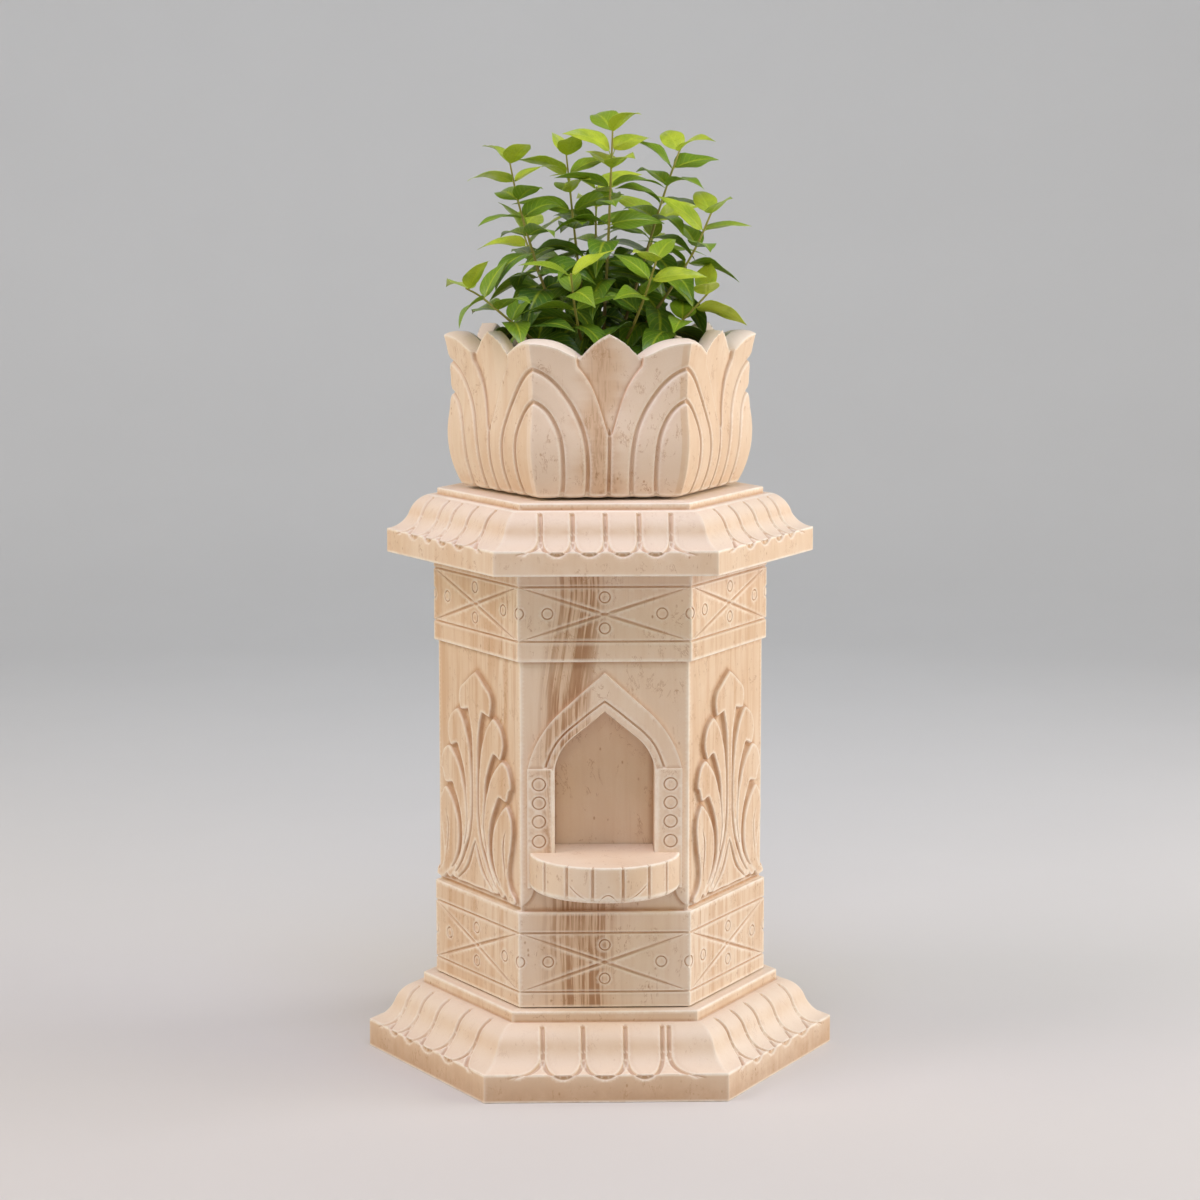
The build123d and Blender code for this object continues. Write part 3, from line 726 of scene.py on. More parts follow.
cream = (0.78, 0.590, 0.425, 1)
pale_cream = (0.85, 0.700, 0.555, 1)
warm_cream = (0.69, 0.465, 0.295, 1)
# Painted top light on surfaces that face up.
top_light_cream = (0.90, 0.785, 0.685, 1)
vein_brown = (0.36, 0.165, 0.07, 1)
fleck_brown = (0.45, 0.235, 0.11, 1)
# Colour of the painted shade in hollows.
groove_shade_brown = (0.47, 0.235, 0.105, 1)
# Pale edges: wear and painted highlight.
edge_light = (0.99, 0.92, 0.83, 1)
rose_cream = (0.88, 0.745, 0.635, 1)


def add_belt(graph, colour, strength, x, y, z, front):
    """A belt of thin upright brown veins down the column's front, beside the niche."""
    place = graph.place
    outer = graph.times(front, graph.ramp(y, -0.168, -0.160, 1.0, 0.0))
    centre = graph.math("ADD", graph.ramp(z, 0.44, 0.62, 0.046, 0.028),
                        graph.ramp(z, 0.20, 0.40, -0.018, 0.0))
    wander = graph.noise(graph.scaled(place, (0.1, 0.1, 1.0), (3.1, 0, 1.7)), 7.0, 2, 0.5)
    centre = graph.math("ADD", centre, graph.ramp(wander, 0.2, 0.8, -0.003, 0.003))
    across = graph.math("ADD", x, centre)
    reach = graph.math("DIVIDE", graph.size(across), graph.ramp(z, 0.20, 0.42, 1.4, 1.0))
    near = graph.ramp(reach, 0.010, 0.040, 1.0, 0.0)
    along = graph.node("CombineXYZ", X=across, Z=graph.times(z, 0.03)).outputs[0]
    lines = graph.noise(along, 170.0, 5, 0.65)
    thread = graph.ramp(lines, 0.46, 0.56)
    patchy = graph.noise(graph.scaled(place, (1, 1, 0.22)), 40.0, 3)
    vein = graph.times(near, thread, graph.ramp(patchy, 0.30, 0.52, 0.25, 1.0), outer)
    halo = graph.times(near, graph.ramp(lines, 0.34, 0.6, 0.25, 0.85), outer)
    colour = graph.mix(halo, colour, warm_cream)
    return graph.mix(graph.times(vein, strength), colour, vein_brown)


def add_seam(graph, colour, strength, x, z, front):
    """A torn brown seam down the pot's middle petal."""
    place = graph.place
    drift = graph.noise(graph.scaled(place, (0.2, 0.2, 1.0), (1.3, 0, 4.1)), 28.0, 4, 0.6)
    off = graph.size(graph.math("ADD", x, graph.ramp(drift, 0.2, 0.8, -0.010, 0.020)))
    lines = graph.noise(graph.scaled(place, (1, 1, 0.08)), 260.0, 4, 0.6, 0.6)
    torn = graph.ramp(graph.noise(graph.scaled(place, (1, 1, 0.3)), 90.0, 4), 0.36, 0.56)
    halo = graph.times(graph.ramp(off, 0.004, 0.036, 0.75, 0.0), front)
    colour = graph.mix(halo, colour, warm_cream)
    vein = graph.times(graph.ramp(off, 0.001, 0.012, 0.9, 0.0), torn,
                       graph.ramp(lines, 0.40, 0.62), graph.ramp(z, 0.76, 0.81, 1.0, 0.45))
    wisp = graph.times(graph.ramp(off, 0.006, 0.026, 0.35, 0.0), graph.ramp(lines, 0.52, 0.60))
    vein = graph.times(graph.math("MAXIMUM", vein, wisp), front)
    return graph.mix(graph.times(vein, strength), colour, vein_brown)


def stone_material(name, shift, grain_share, belt=0.0, seam=0.0, painted_light=0.7, front_pale=0.0,
                   low_darkening=0.0):
    """Honed cream stone: upright grain, flecks, brown veins in front, painted shade in hollows, painted
    top light, and pale edges of wear and painted highlight.
    """
    graph = Graph(name)
    ramp, times, noise_at = graph.ramp, graph.times, graph.noise
    own = graph.scaled(graph.place, (1, 1, 1), (shift, shift * 0.7, shift * 1.3))
    x, y, z = graph.parts(graph.place)
    cloud = noise_at(graph.scaled(own, (1, 1, 0.5)), 7.0, 5, 0.6)
    mottle = noise_at(own, 55.0, 5, 0.62)
    grain = noise_at(graph.scaled(own, (1, 1, 0.06)), 110.0, 6, 0.6, 0.3)
    broad = noise_at(graph.scaled(own, (1, 1, 0.10)), 26.0, 4, 0.6, 0.4)
    speckle = noise_at(own, 900.0, 3, 0.7)
    colour = graph.mix(ramp(cloud, 0.38, 0.66), cream, pale_cream)
    colour = graph.mix(ramp(mottle, 0.45, 0.75, 0.0, 0.4), colour, pale_cream)
    front = ramp(graph.math("SUBTRACT", times(y, -tan_half), graph.size(x)), -0.001, 0.001)
    upright = graph.math("SUBTRACT", grain_share, times(front, grain_share * 0.7))
    for layer, low, high in ((grain, 0.46, 0.66), (broad, 0.50, 0.68)):
        colour = graph.mix(times(ramp(layer, low, high), upright), colour, warm_cream)
    thread = noise_at(graph.scaled(own, (1, 1, 0.035), (0.7, 0.2, 0)), 240.0, 4, 0.6, 0.5)
    strand = times(ramp(thread, 0.60, 0.70), ramp(cloud, 0.42, 0.62), upright, 0.75)
    colour = graph.mix(strand, colour, fleck_brown)
    colour = graph.mix(times(front, front_pale), colour, rose_cream)
    if low_darkening:
        # Darker and browner towards the bottom, in patches.
        low = times(ramp(z, 0.0, 0.045, low_darkening, 0.0), ramp(mottle, 0.3, 0.7, 0.6, 1.0))
        colour = graph.mix(low, colour, fleck_brown)
    if belt:
        colour = add_belt(graph, colour, belt, x, y, z, front)
    if seam:
        colour = add_seam(graph, colour, seam, x, z, front)
    thin = noise_at(graph.scaled(own, (1, 1, 0.4), (0, 0.4, 0.2)), 34.0, 6, 0.7, 0.8)
    hair = ramp(graph.size(graph.math("SUBTRACT", thin, 0.5)), 0.003, 0.013, 1, 0)
    rare = ramp(noise_at(own, 48.0, 3), 0.50, 0.60)
    colour = graph.mix(times(hair, rare, 0.55), colour, fleck_brown)
    spots = graph.node("TexVoronoi", Vector=graph.scaled(own, (1, 1, 0.6)), Scale=130.0)
    fleck = times(ramp(spots.outputs["Distance"], 0.06, 0.24, 1, 0),
                  ramp(noise_at(own, 60.0, 2), 0.55, 0.66))
    colour = graph.mix(times(fleck, 0.7), colour, fleck_brown)
    # Painted top light: surfaces that face up are paler.
    facing = graph.parts(graph.node("NewGeometry").outputs["Normal"])
    colour = graph.mix(ramp(facing["Z"], 0.15, 0.75, 0.0, painted_light), colour, top_light_cream)
    # Painted shade in grooves, creases, recesses and at the feet of relief walls.
    painted_shade = times(graph.attribute("stain"), ramp(mottle, 0.3, 0.7, 0.6, 0.95))
    colour = graph.mix(painted_shade, colour, groove_shade_brown)
    # Pale edges: wear and painted highlight.
    light = times(graph.attribute("worn"), ramp(mottle, 0.3, 0.6, 0.5, 0.95))
    colour = graph.mix(light, colour, edge_light)
    colour = graph.mix(ramp(speckle, 0.3, 0.8, 0.0, 0.16), colour, warm_cream)
    pits = graph.math("SUBTRACT", times(speckle, 0.6), times(fleck, 0.8))
    normal = graph.bump(mottle, 0.25, 0.0012, graph.bump(pits, 0.35, 0.0004))
    return graph.finish(colour, ramp(mottle, 0.3, 0.75, 0.48, 0.64), normal,
                        Specular_IOR_Level=0.35)


base_stone = stone_material("stone_base", 0.3, 0.3, low_darkening=0.6)
column_stone = stone_material("stone_column", 0.0, 0.85, belt=0.8, front_pale=0.3)
cornice_stone = stone_material("stone_cornice", 1.1, 0.3)
shelf_stone = stone_material("stone_shelf", 2.3, 0.1, painted_light=0.3)
pot_stone = stone_material("stone_pot", 3.7, 0.25, seam=0.85, front_pale=0.6)


def finish_piece(piece, material, body, slot, *nodes_replaced):
    """Gives a piece its material and body, and hides the CAD nodes it stands for; slot is not used."""
    piece.data.materials.append(material)
    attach(piece, body)
    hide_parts(*nodes_replaced)


# ---- Petal mouldings of the base and the cornice ----

channel_half, channel_depth = 3.4, 3.2
petal_half, petal_depth = 3.1, 3.0
petal_overrun = 5.4  # how far a petal's rounded end cuts down over the slab's edge
petal_fork = 0.42  # of the moulding's length, where a channel forks into two petal ends
corner_gap = 20.0  # between the last petal end and the slab's corner
least_petal = 14.0  # channels closer than this have no petal between them
base_channels = {
    "front": (-75.8, -27.1, 23.7, 68.1, 76.0),
    "right": (-84.9, -43.2, -4.9, 41.7, 93.4),
    "left": (-100.8, -65.1, -24.4, 28.6, 78.9),
}
cornice_channels = {
    "front": (-76.6, -38.8, 0.0, 39.7, 77.4),
    "right": (-63.4, -23.8, 18.2, 57.0, 84.9),
    "left": (-85.6, -45.1, -13.1, 25.1, 68.7),
}
side_kinds = ("front", "right", "left", "right", "left", "left")


def moulding_section(slab_r, slab_h, foot_r, waist_r, waist_h, crown_r, crown_h, step_r,
                     hollow, bulge, low, high):
    """Slab, hollow, round and step, from the underside to the top."""
    slab_top = low + slab_h
    waist, crown = (waist_r, slab_top + waist_h), (crown_r, slab_top + crown_h)
    corners = [(slab_r - 14, low), (slab_r, low), (slab_r, slab_top), (foot_r, slab_top)]
    corners += arc_points((foot_r, slab_top), waist, hollow, 14)[1:]
    corners += arc_points(waist, crown, -bulge, 14)[1:]
    corners += [(step_r, slab_top + crown_h), (step_r, high), (step_r - 30, high)]
    return Section([(r * cos_half, z) for r, z in corners])


def petal_carving(section, channels, slab_top, moulding_h):
    """Channels down the moulding, joined at its foot by the rounded ends of the petals."""
    carving = Carving(shoulder=0.9, painted_shade=0.6)
    foot = section.at_height(slab_top) + 1.0
    crown = section.at_height(slab_top + moulding_h - 0.4)
    fork = foot + (crown - foot) * petal_fork
    low = foot - 1.0 - petal_overrun
    corner = float(section.out(foot)) * tan_half - corner_gap
    for t in channels:
        carving.groove(polyline([(t, crown - 2.5), (t, fork - 2)]), channel_half, channel_depth,
                       taper=([0, 0.06, 1], [0.55, 1, 1]))
    for left, right in zip(channels, channels[1:]):
        if right - left < least_petal:
            continue
        middle, reach = (left + right) / 2, (right - left) / 2
        for side in (-1, 1):
            arc = [(middle + side * reach * math.cos(a), fork - (fork - low) * math.sin(a))
                   for a in np.linspace(0, math.pi / 2, 14)]
            carving.groove(resample(arc, 2.2), petal_half, petal_depth)
    for side, t in ((-1, channels[0]), (1, channels[-1])):
        width = corner - abs(t)
        arc = [(t + side * width * (1 - math.cos(a)), fork - (fork - low) * math.sin(a))
               for a in np.linspace(0, math.pi / 2 * 0.9, 16)]
        carving.groove(resample(arc, 2.2), petal_half, petal_depth,
                       taper=([0, 0.75, 1], [1, 1, 0.1]))
    return carving


def moulded_block(name, section, channels, slab_top, moulding_h):
    rows = section.rows()
    patches = {kind: Patch(section, petal_carving(section, at, slab_top, moulding_h), rows,
                           edge_wear_highlight=0.35)
               for kind, at in channels.items()}
    return capped_block([patches[kind] for kind in side_kinds]).build(name)


base_section = moulding_section(
    base_slab_r, base_slab_h, base_foot_r, base_waist_r, base_waist_h, base_crown_r,
    base_moulding_h, base_step_r, base_hollow_dip, base_round_bulge, base_low[2], base_top)
cornice_section = moulding_section(
    cornice_slab_r, cornice_slab_h, cornice_foot_r, cornice_waist_r, cornice_waist_h,
    cornice_crown_r, cornice_moulding_h, cornice_step_r, cornice_hollow_dip,
    cornice_round_bulge, cornice_foot, cornice_top)
base_piece = moulded_block("carved_base", base_section, base_channels,
                           base_low[2] + base_slab_h, base_moulding_h)
finish_piece(base_piece, base_stone, "pedestal", "stone", "base_plinth")
cornice_piece = moulded_block("carved_cornice", cornice_section, cornice_channels,
                              cornice_foot + cornice_slab_h, cornice_moulding_h)
finish_piece(cornice_piece, cornice_stone, "pedestal", "stone", "cornice")


# ---- Column: banded, with a niche in front and a palmette on every other side ----

column_section = Section([(r * cos_half, z) for r, z in (
    (band_r - 14, column_foot), (band_r, column_foot), (band_r, shaft_foot), (shaft_r, shaft_foot),
    (shaft_r, upper_band_foot), (band_r, upper_band_foot), (band_r, column_top),
    (band_r - 14, column_top))])
band_half_w = band_r / 2
upper_grooves, lower_grooves = (541.0, 606.3), (115.2, 187.8)
upper_rings, lower_rings = (557.0, 594.0), (131.6, 173.0)
ring_t = 68.0
border_half, border_depth = 1.6, 1.9
cross_half, cross_depth = 2.6, 2.2
ring_r, ring_half, ring_depth = 6.4, 1.15, 1.4
front_gap, leaf_gap, plain_gap = 3.1, 3.3, 8.0  # between the spots of the column's mesh


def ring_line(centre, radius, count=26):
    """A closed round line."""
    angles = np.linspace(0, 2 * math.pi, count + 1)
    return np.stack([centre[0] + radius * np.cos(angles), centre[1] + radius * np.sin(angles)], 1)


def band_carving(carving, section, grooves, rings):
    """Two border lines, a cross from corner to corner, and small rings."""
    low, high = (section.at_height(z) for z in grooves)
    middle = (low + high) / 2
    reach = band_half_w + 6
    for s in (low, high):
        carving.groove(polyline([(-reach, s), (reach, s)], 4.0), border_half, border_depth)
    for side in (-1, 1):
        cross = polyline([(-band_half_w, middle - side * (middle - low)),
                          (band_half_w, middle + side * (middle - low))], 4.0)
        carving.groove(cross, cross_half, cross_depth, taper=([0, 0.5, 1], [0.35, 1, 0.35]),
                       sharp=True)
    for t in (-band_half_w, -ring_t, ring_t, band_half_w):
        carving.groove(ring_line((t, middle + 0.8), ring_r), ring_half, ring_depth)
    for z in rings:
        carving.groove(ring_line((0, section.at_height(z)), ring_r), ring_half, ring_depth)


def arch_outline(half_w, shoulder, apex_h, bulge):
    """Outline of the niche or its surround: up one side, over the point and down the other."""
    right = [(half_w, shelf_foot), (half_w, niche_springing)]
    top = (shoulder[0], niche_springing + shoulder[1])
    right += arc_points((half_w, niche_springing), top, -bulge, 10)[1:]
    right.append((0.0, niche_springing + apex_h))
    return right + [(-x, z) for x, z in right[::-1][1:]]


# Outlines of the palmette's right half on the shaft: place across, and height.
palmette_rise, palmette_slope = 6.1, 4.6
rib_half, rib_depth = 1.6, 1.8  # of the lowest leaves' midrib
foot_half, foot_depth = 2.6, 1.6  # of the line across the shaft's foot
bud = [(0, 489.3), (11.8, 482.6), (22.7, 474.8), (31.5, 469.1), (35.5, 463.7), (37, 458),
       (36.4, 450.9), (33.3, 441), (24.5, 442.5), (15.5, 444.7), (10.4, 429.8), (6.9, 415.2),
       (5.8, 402.9), (5, 382.7), (4.3, 346.2), (4.6, 315), (7.5, 296), (13, 279), (20.5, 265),
       (29.5, 251), (41, 238.5), (54, 227.5), (46, 226.5), (36, 234.5), (26, 243), (18, 253),
       (12.5, 263), (6, 276), (0, 284)]
lobe_high = [(42.2, 437.9), (33.3, 430.5), (26.3, 421.4), (22.2, 412.7), (17.1, 400.8),
             (14.1, 389.2), (11.9, 373.8), (10.4, 358.4), (9.7, 347.2), (10.6, 316),
             (16.4, 287), (24.8, 272), (33, 258), (45, 244.5), (59.5, 232), (58, 229.5),
             (47, 238), (37, 249.5), (29.5, 262.5), (25.2, 273), (21.5, 286), (18.6, 298),
             (18.5, 311), (19.5, 325), (21, 338), (21.8, 349.3), (23.2, 357.6), (25.9, 367.1),
             (30.9, 378), (35.9, 387.9), (43.3, 397.2), (57.1, 392.5), (58.2, 392.7),
             (62.6, 401.4), (64.6, 408.7), (64.2, 414.6), (61.7, 422.2), (57.9, 428.5),
             (51, 434.3)]
lobe_middle = [(62.5, 388.7), (52.7, 381.8), (44.8, 374.4), (38.8, 366.4), (33.8, 357.5),
               (31.3, 350.8), (25.9, 337.1), (23.1, 323.9), (21.5, 309.7), (22, 297),
               (25.5, 282.8), (28.6, 271.6), (31.7, 261.6), (38.9, 247), (49.3, 235.3),
               (61.8, 225), (68, 229.5), (55.6, 237.6), (45.2, 247.2), (36.9, 258.3),
               (32.8, 269.2), (31.2, 279.6), (31.3, 290.3), (33, 303.4), (36.2, 314.6),
               (41.6, 326.2), (47.9, 336.9), (55.2, 346.1), (70.7, 343.7), (74.9, 350.2),
               (78, 358.1), (81.5, 359.9), (81.9, 366), (80, 372.6), (77.1, 379), (72.3, 385.2)]
lobe_low = [(71.7, 335.9), (62.4, 329), (54, 320), (47.7, 310.4), (43.5, 301.1), (41.3, 291.1),
            (40.8, 279.3), (42.2, 269), (45.3, 258.9), (51.5, 247.4), (61.8, 235.7),
            (72.2, 227.2), (78.3, 222.1), (92, 223), (90.7, 227.9), (83.6, 232.7), (78.4, 240.1),
            (75.4, 249), (75.4, 260.7), (77.6, 272.7), (80.7, 285), (82.8, 295.9), (84.5, 306.8),
            (84, 316.1), (81.9, 324.2), (76.8, 331.6)]
foot_leaf = [(0, 278.3), (5.2, 265), (10, 254), (15.5, 245.5), (24, 238), (34, 231.5),
             (43, 225.5), (20, 226.5), (0, 225.5)]
midrib = [(70.5, 306.2), (66.3, 294.9), (65.2, 284.1), (66.2, 273.7), (68.2, 261.4), (69.2, 251)]


def palmette_carving(section):
    """Three leaves each side of a stalk with a bud, and a leaf at its foot."""
    outlines = []
    for half_leaf in (bud, foot_leaf):
        right = section.on_face(half_leaf)
        whole = right + [(-t, s) for t, s in right[::-1] if t > 0]
        outlines.append(resample(closed_line(np.array(whole)), 2.4)[:-1])
    for leaf in (lobe_high, lobe_middle, lobe_low):
        right = smooth_line(section.on_face(leaf), 2.4, closed=True)[:-1]
        outlines += [right, mirrored(right)]
    carving = Carving()
    carving.field(outlines, palmette_rise, palmette_slope, wall_shade=0.85)
    rib = smooth_line(section.on_face(midrib))
    for line in (rib, mirrored(rib)):
        carving.groove(line, rib_half, rib_depth, taper=([0, 0.3, 0.7, 1], [0.2, 1, 1, 0.2]),
                       sharp=True)
    low = section.at_height(shaft_foot + 3)
    carving.groove(polyline([(-98, low), (98, low)], 4), foot_half, foot_depth)
    return carving


niche_back = shaft_flat - niche_depth
jamb_raise, jamb_out, jamb_in = 0.8, 88.9, 60.2
jamb_ring_t, jamb_ring_r, jamb_ring_half, jamb_ring_depth = 75.7, 7.5, 1.2, 1.5
jamb_rings = (300.5, 324.4, 347.0, 369.5)
inner_line = [(68.4, 390.3), (62.9, 405.7), (55.7, 419.4), (44.6, 432.3), (28.7, 446),
              (14.4, 458), (0, 469.3)]
inner_half, inner_depth = 1.7, 2.2
recess_depth = 3.6  # of the flat panel under the shelf


def niche_carving(section):
    """The raised surround with its jambs, arch line and rings, and the panel under the shelf."""
    carving = Carving()
    surround = arch_outline(surround_half_w, surround_shoulder, surround_apex_h, surround_bulge)
    carving.field([closed_run(section.on_face(surround))], surround_raise, 1.2)
    jambs = [closed_run(section.on_face([
        (side * jamb_out, shelf_foot), (side * jamb_out, niche_springing),
        (side * jamb_in, niche_springing), (side * jamb_in, shelf_foot)])) for side in (-1, 1)]
    carving.field(jambs, surround_raise + jamb_raise, 1.0)
    right = smooth_line(section.on_face(inner_line))
    carving.groove(np.vstack([right, mirrored(right)[::-1][1:]]), inner_half, inner_depth)
    for side in (-1, 1):
        for z in jamb_rings:
            centre = (side * jamb_ring_t, section.at_height(z))
            carving.groove(ring_line(centre, jamb_ring_r), jamb_ring_half, jamb_ring_depth)
    flare = arc_points((98.2, 219.6), (84.7, 241), 3.0, 8)
    recess = [(-98.5, 214.6), (98.5, 214.6), (98.2, 219.6)] + flare[1:]
    recess += [(84.7, 262), (-84.7, 262)] + [(-x, z) for x, z in flare[::-1]]
    carving.field([polyline(section.on_face(recess))], -recess_depth, 1.5)
    return carving


def close_niche(shell, patch, hole, opening):
    """Walls and back of the niche, joined to the hole in the front side."""
    t, z = opening.T
    previous = nearest(patch.spots, hole)
    steps = 7
    # Painted highlight on the ring at the front edge, painted shade on the ring at the back and round the
    # edge of the back.
    for step, out in enumerate(np.linspace(shaft_flat + surround_raise - arris, niche_back, steps)):
        start = shell.add(to_space(0, out, t, z), worn=1.0 if step == 0 else 0.0,
                          stain=0.7 if step == steps - 1 else 0.0)
        ring = list(range(start, start + len(t)))
        join_rings(shell, previous, ring)
        previous = ring
    grid = np.array([(across, up) for across in np.arange(4 - niche_half_w, niche_half_w - 4, 6.0)
                     for up in np.arange(shelf_foot + 4, niche_springing + niche_apex_h, 6.0)])
    fill_ring(shell, previous, opening, lambda flat: to_space(0, niche_back, *flat.T),
              dots=inner_dots(grid, opening, 3),
              stain=lambda flat: 0.7 * bell(line_distance(flat, closed_line(opening))[0], 2.5))


def column_block():
    section = column_section
    rows = section.rows([section.at_height(z) + off for z in upper_grooves + lower_grooves
                         for off in (-border_half, 0.0, border_half)])
    leafy, fronted = palmette_carving(section), niche_carving(section)
    for carving in (leafy, fronted):
        band_carving(carving, section, upper_grooves, upper_rings)
        band_carving(carving, section, lower_grooves, lower_rings)
    opening = closed_run(arch_outline(niche_half_w, niche_shoulder, niche_apex_h, niche_bulge), 3.0)
    centre = np.array([0.0, niche_springing - 30])
    wider = []
    for off in opening - centre:
        t, z = centre + off * (1 + arris / np.linalg.norm(off))
        wider.append((t, section.at_height(max(z, shelf_foot - arris))))
    front = Patch(section, fronted, rows, hole=wider, fine=front_gap, coarse=plain_gap)
    leaf = Patch(section, leafy, rows, fine=leaf_gap, coarse=plain_gap)
    shell = capped_block([front] + [leaf] * (sides - 1))
    close_niche(shell, front, wider, opening)
    return shell.build("carved_column")


column_piece = column_block()
finish_piece(column_piece, column_stone, "pedestal", "stone", "column_shaft")


# ---- Lamp shelf ----

shelf_turns = (-54.3, -31.8, -10.8, 12.4, 34.4, 53.4)  # degrees, of its upright channels
shelf_half, shelf_depth = 2.3, 2.8
thin_half, thin_depth = 1.1, 0.9  # of the curved lines between the channels
shelf_front = shaft_flat + surround_raise  # its back lies on the surround
shelf_section = Section([(shelf_r - 12, shelf_foot), (shelf_r - 4, shelf_foot),
                         (shelf_r, shelf_foot + 4), (shelf_r, shelf_top), (shelf_r - 12, shelf_top)])


def shelf_limit(s):
    """Half the shelf's width, measured round its curve, where it meets the surround."""
    return shelf_r * np.arccos((shelf_front - shaft_flat) / shelf_section.out(s))


def shelf_carving(section):
    carving = Carving()
    cuts = [math.radians(turn) * shelf_r for turn in shelf_turns]
    low, top = section.at_height(shelf_foot + 1), section.length - 7.5
    for t in cuts:
        carving.groove(polyline([(t, low), (t, top)]), shelf_half, shelf_depth,
                       taper=([0, 0.85, 1], [1, 1, 0.4]))
    foot, mid = section.at_height(shelf_foot + 2), section.at_height(shelf_foot + 11)
    centre = (cuts[2] + cuts[3]) / 2
    arch = [(centre + x, foot + 9 * (1 - (x / 11) ** 2)) for x in np.linspace(-11, 11, 12)]
    carving.groove(np.array(arch), thin_half, thin_depth)
    for side, first, second in ((-1, cuts[1], cuts[2]), (1, cuts[4], cuts[3])):
        curve = arc_points((first, mid + 14), (second - side * 2, foot), side * 4.0, 10)
        carving.groove(np.array(curve), thin_half, thin_depth, taper=([0, 0.3, 1], [0.2, 1, 1]))
    return carving


def shelf_block():
    section, limit, length = shelf_section, shelf_limit, shelf_section.length
    carving = shelf_carving(section)
    across = polyline([(-1, 0), (1, 0)], 0.05)[1:-1, 0]
    outline = strip_outline(limit, section.rows(), level_line(limit, 0.0, across),
                            level_line(limit, length, -across))
    lines = clip_lines(carving.guides, limit, length) + section.levels(limit, length)
    dots = grid_dots(limit, length, [outline] + lines, coarse=4.0)
    spots, faces = triangulate(outline, lines, dots)
    height, stain, worn = carving.relief(spots)
    w, s = spots[:, 0], spots[:, 1]
    # Painted highlight, with wear, along the section's turns.
    for mark, _ in section.marks:
        worn = np.maximum(worn, bell(s - mark, 1.6))
    na, nz = section.normal(s)
    out = section.out(s) + na * height
    y = np.minimum(-shaft_flat - out * np.cos(w / shelf_r), -shelf_front)
    shell = Shell()
    shell.add(np.column_stack([out * np.sin(w / shelf_r), y, section.up(s) + nz * height]),
              faces.tolist(), stain=stain, worn=worn)
    add_tongue(shell, list(level_spots(w, s, 0.0)), list(level_spots(w, s, length)),
               list(edge_spots(w, s, limit, 1)), list(edge_spots(w, s, limit, -1)))
    return shell.build("carved_shelf")


def add_tongue(shell, low_rim, high_rim, right_rim, left_rim):
    """The tongue that fills the niche's foot, with the shelf's underside, top and back."""
    half_w, back = niche_half_w - 0.5, niche_back + 1.4
    corners = [(half_w, -shelf_front), (half_w, -back), (-half_w, -back), (-half_w, -shelf_front)]
    low, high = (shell.add([(x, y, z) for x, y in corners]) for z in (shelf_foot, shelf_top))
    shell.faces.append(high_rim + [high + i for i in range(4)])
    shell.faces.append((low_rim + [low + i for i in range(4)])[::-1])
    for i in range(3):
        shell.faces.append([low + i, low + i + 1, high + i + 1, high + i])
    shell.faces.append([high] + right_rim[::-1] + [low])
    shell.faces.append([low + 3] + left_rim + [high + 3])


shelf_piece = shelf_block()
finish_piece(shelf_piece, shelf_stone, "pedestal", "stone", "diya_shelf")


# ---- Lotus pot ----

pot_floor = pot_foot + pot_floor_t
petal_tip = pot_foot + petal_tip_h
pot_waist = (pot_waist_r, pot_foot + pot_waist_h)
pot_toe = (pot_foot_r, pot_foot + pot_foot_h)
pot_section = Section([(r * cos_half, z) for r, z in (
    [(pot_foot_r - pot_foot_inset - 14, pot_foot), (pot_foot_r - pot_foot_inset, pot_foot), pot_toe]
    + arc_points(pot_toe, pot_waist, -pot_belly_bulge, 18)[1:]
    + arc_points(pot_waist, (pot_rim_r, petal_tip), pot_flare_dip, 18)[1:])])
petal_join = 784.0
petal_edge = [(1.6, petal_join), (5.1, 795.5), (9.9, 811.6), (15.4, 827.7), (22.1, 842.5),
              (30.1, 854.7), (38.1, 864.2)]
outer_vein = [(100, 864.5), (92, 861.4), (82.2, 857.2), (72, 850.5), (62, 841), (53.3, 830),
              (45.2, 818), (38.3, 804.7), (32.8, 790.8), (29.3, 776.6), (27.3, 762.4),
              (26.2, 745), (26.2, 729), (26.9, 709)]
inner_vein = [(100, 828), (92, 824), (83.1, 819.2), (74.3, 811.2), (67.4, 800.5), (61.9, 788),
              (58.4, 774.5), (56.6, 757.5), (55.6, 736), (55.8, 722), (57, 709)]
petal_setback = 6.5
tip_bulge = 3.2  # the middle petal's sides, nearly straight up to its point
vein_half, vein_depth = 3.2, 3.3
# The rim's way from the outer skin to the inner wall: run, share of the wall crossed, roundness.
rim_steps = (0.0, 2.0, 7.0, 13.0, pot_wall - 5.0, pot_wall - 1.6, pot_wall)
rim_shares = (0, 0.06, 0.26, 0.5, 0.84, 0.96, 1.0)
rim_lifts = (0, 0.3, 0.75, 0.97, 0.9, 0.4, 0.0)


def rim_drop(t):
    """How far the rim's front edge lies below its crest: broad on the corner petals."""
    return 1.6 + 3.6 * np.clip((np.abs(t) - valley_x) / 14.0, 0, 1) ** 0.7


def cavity_flat(z):
    """How far the middle of the cavity's wall stands from the axis."""
    foot_r, rim_r = pot_foot_r - pot_wall / cos_half, pot_rim_r - pot_wall / cos_half
    return (foot_r + (rim_r - foot_r) * (z - pot_floor) / (petal_tip - pot_floor)) * cos_half


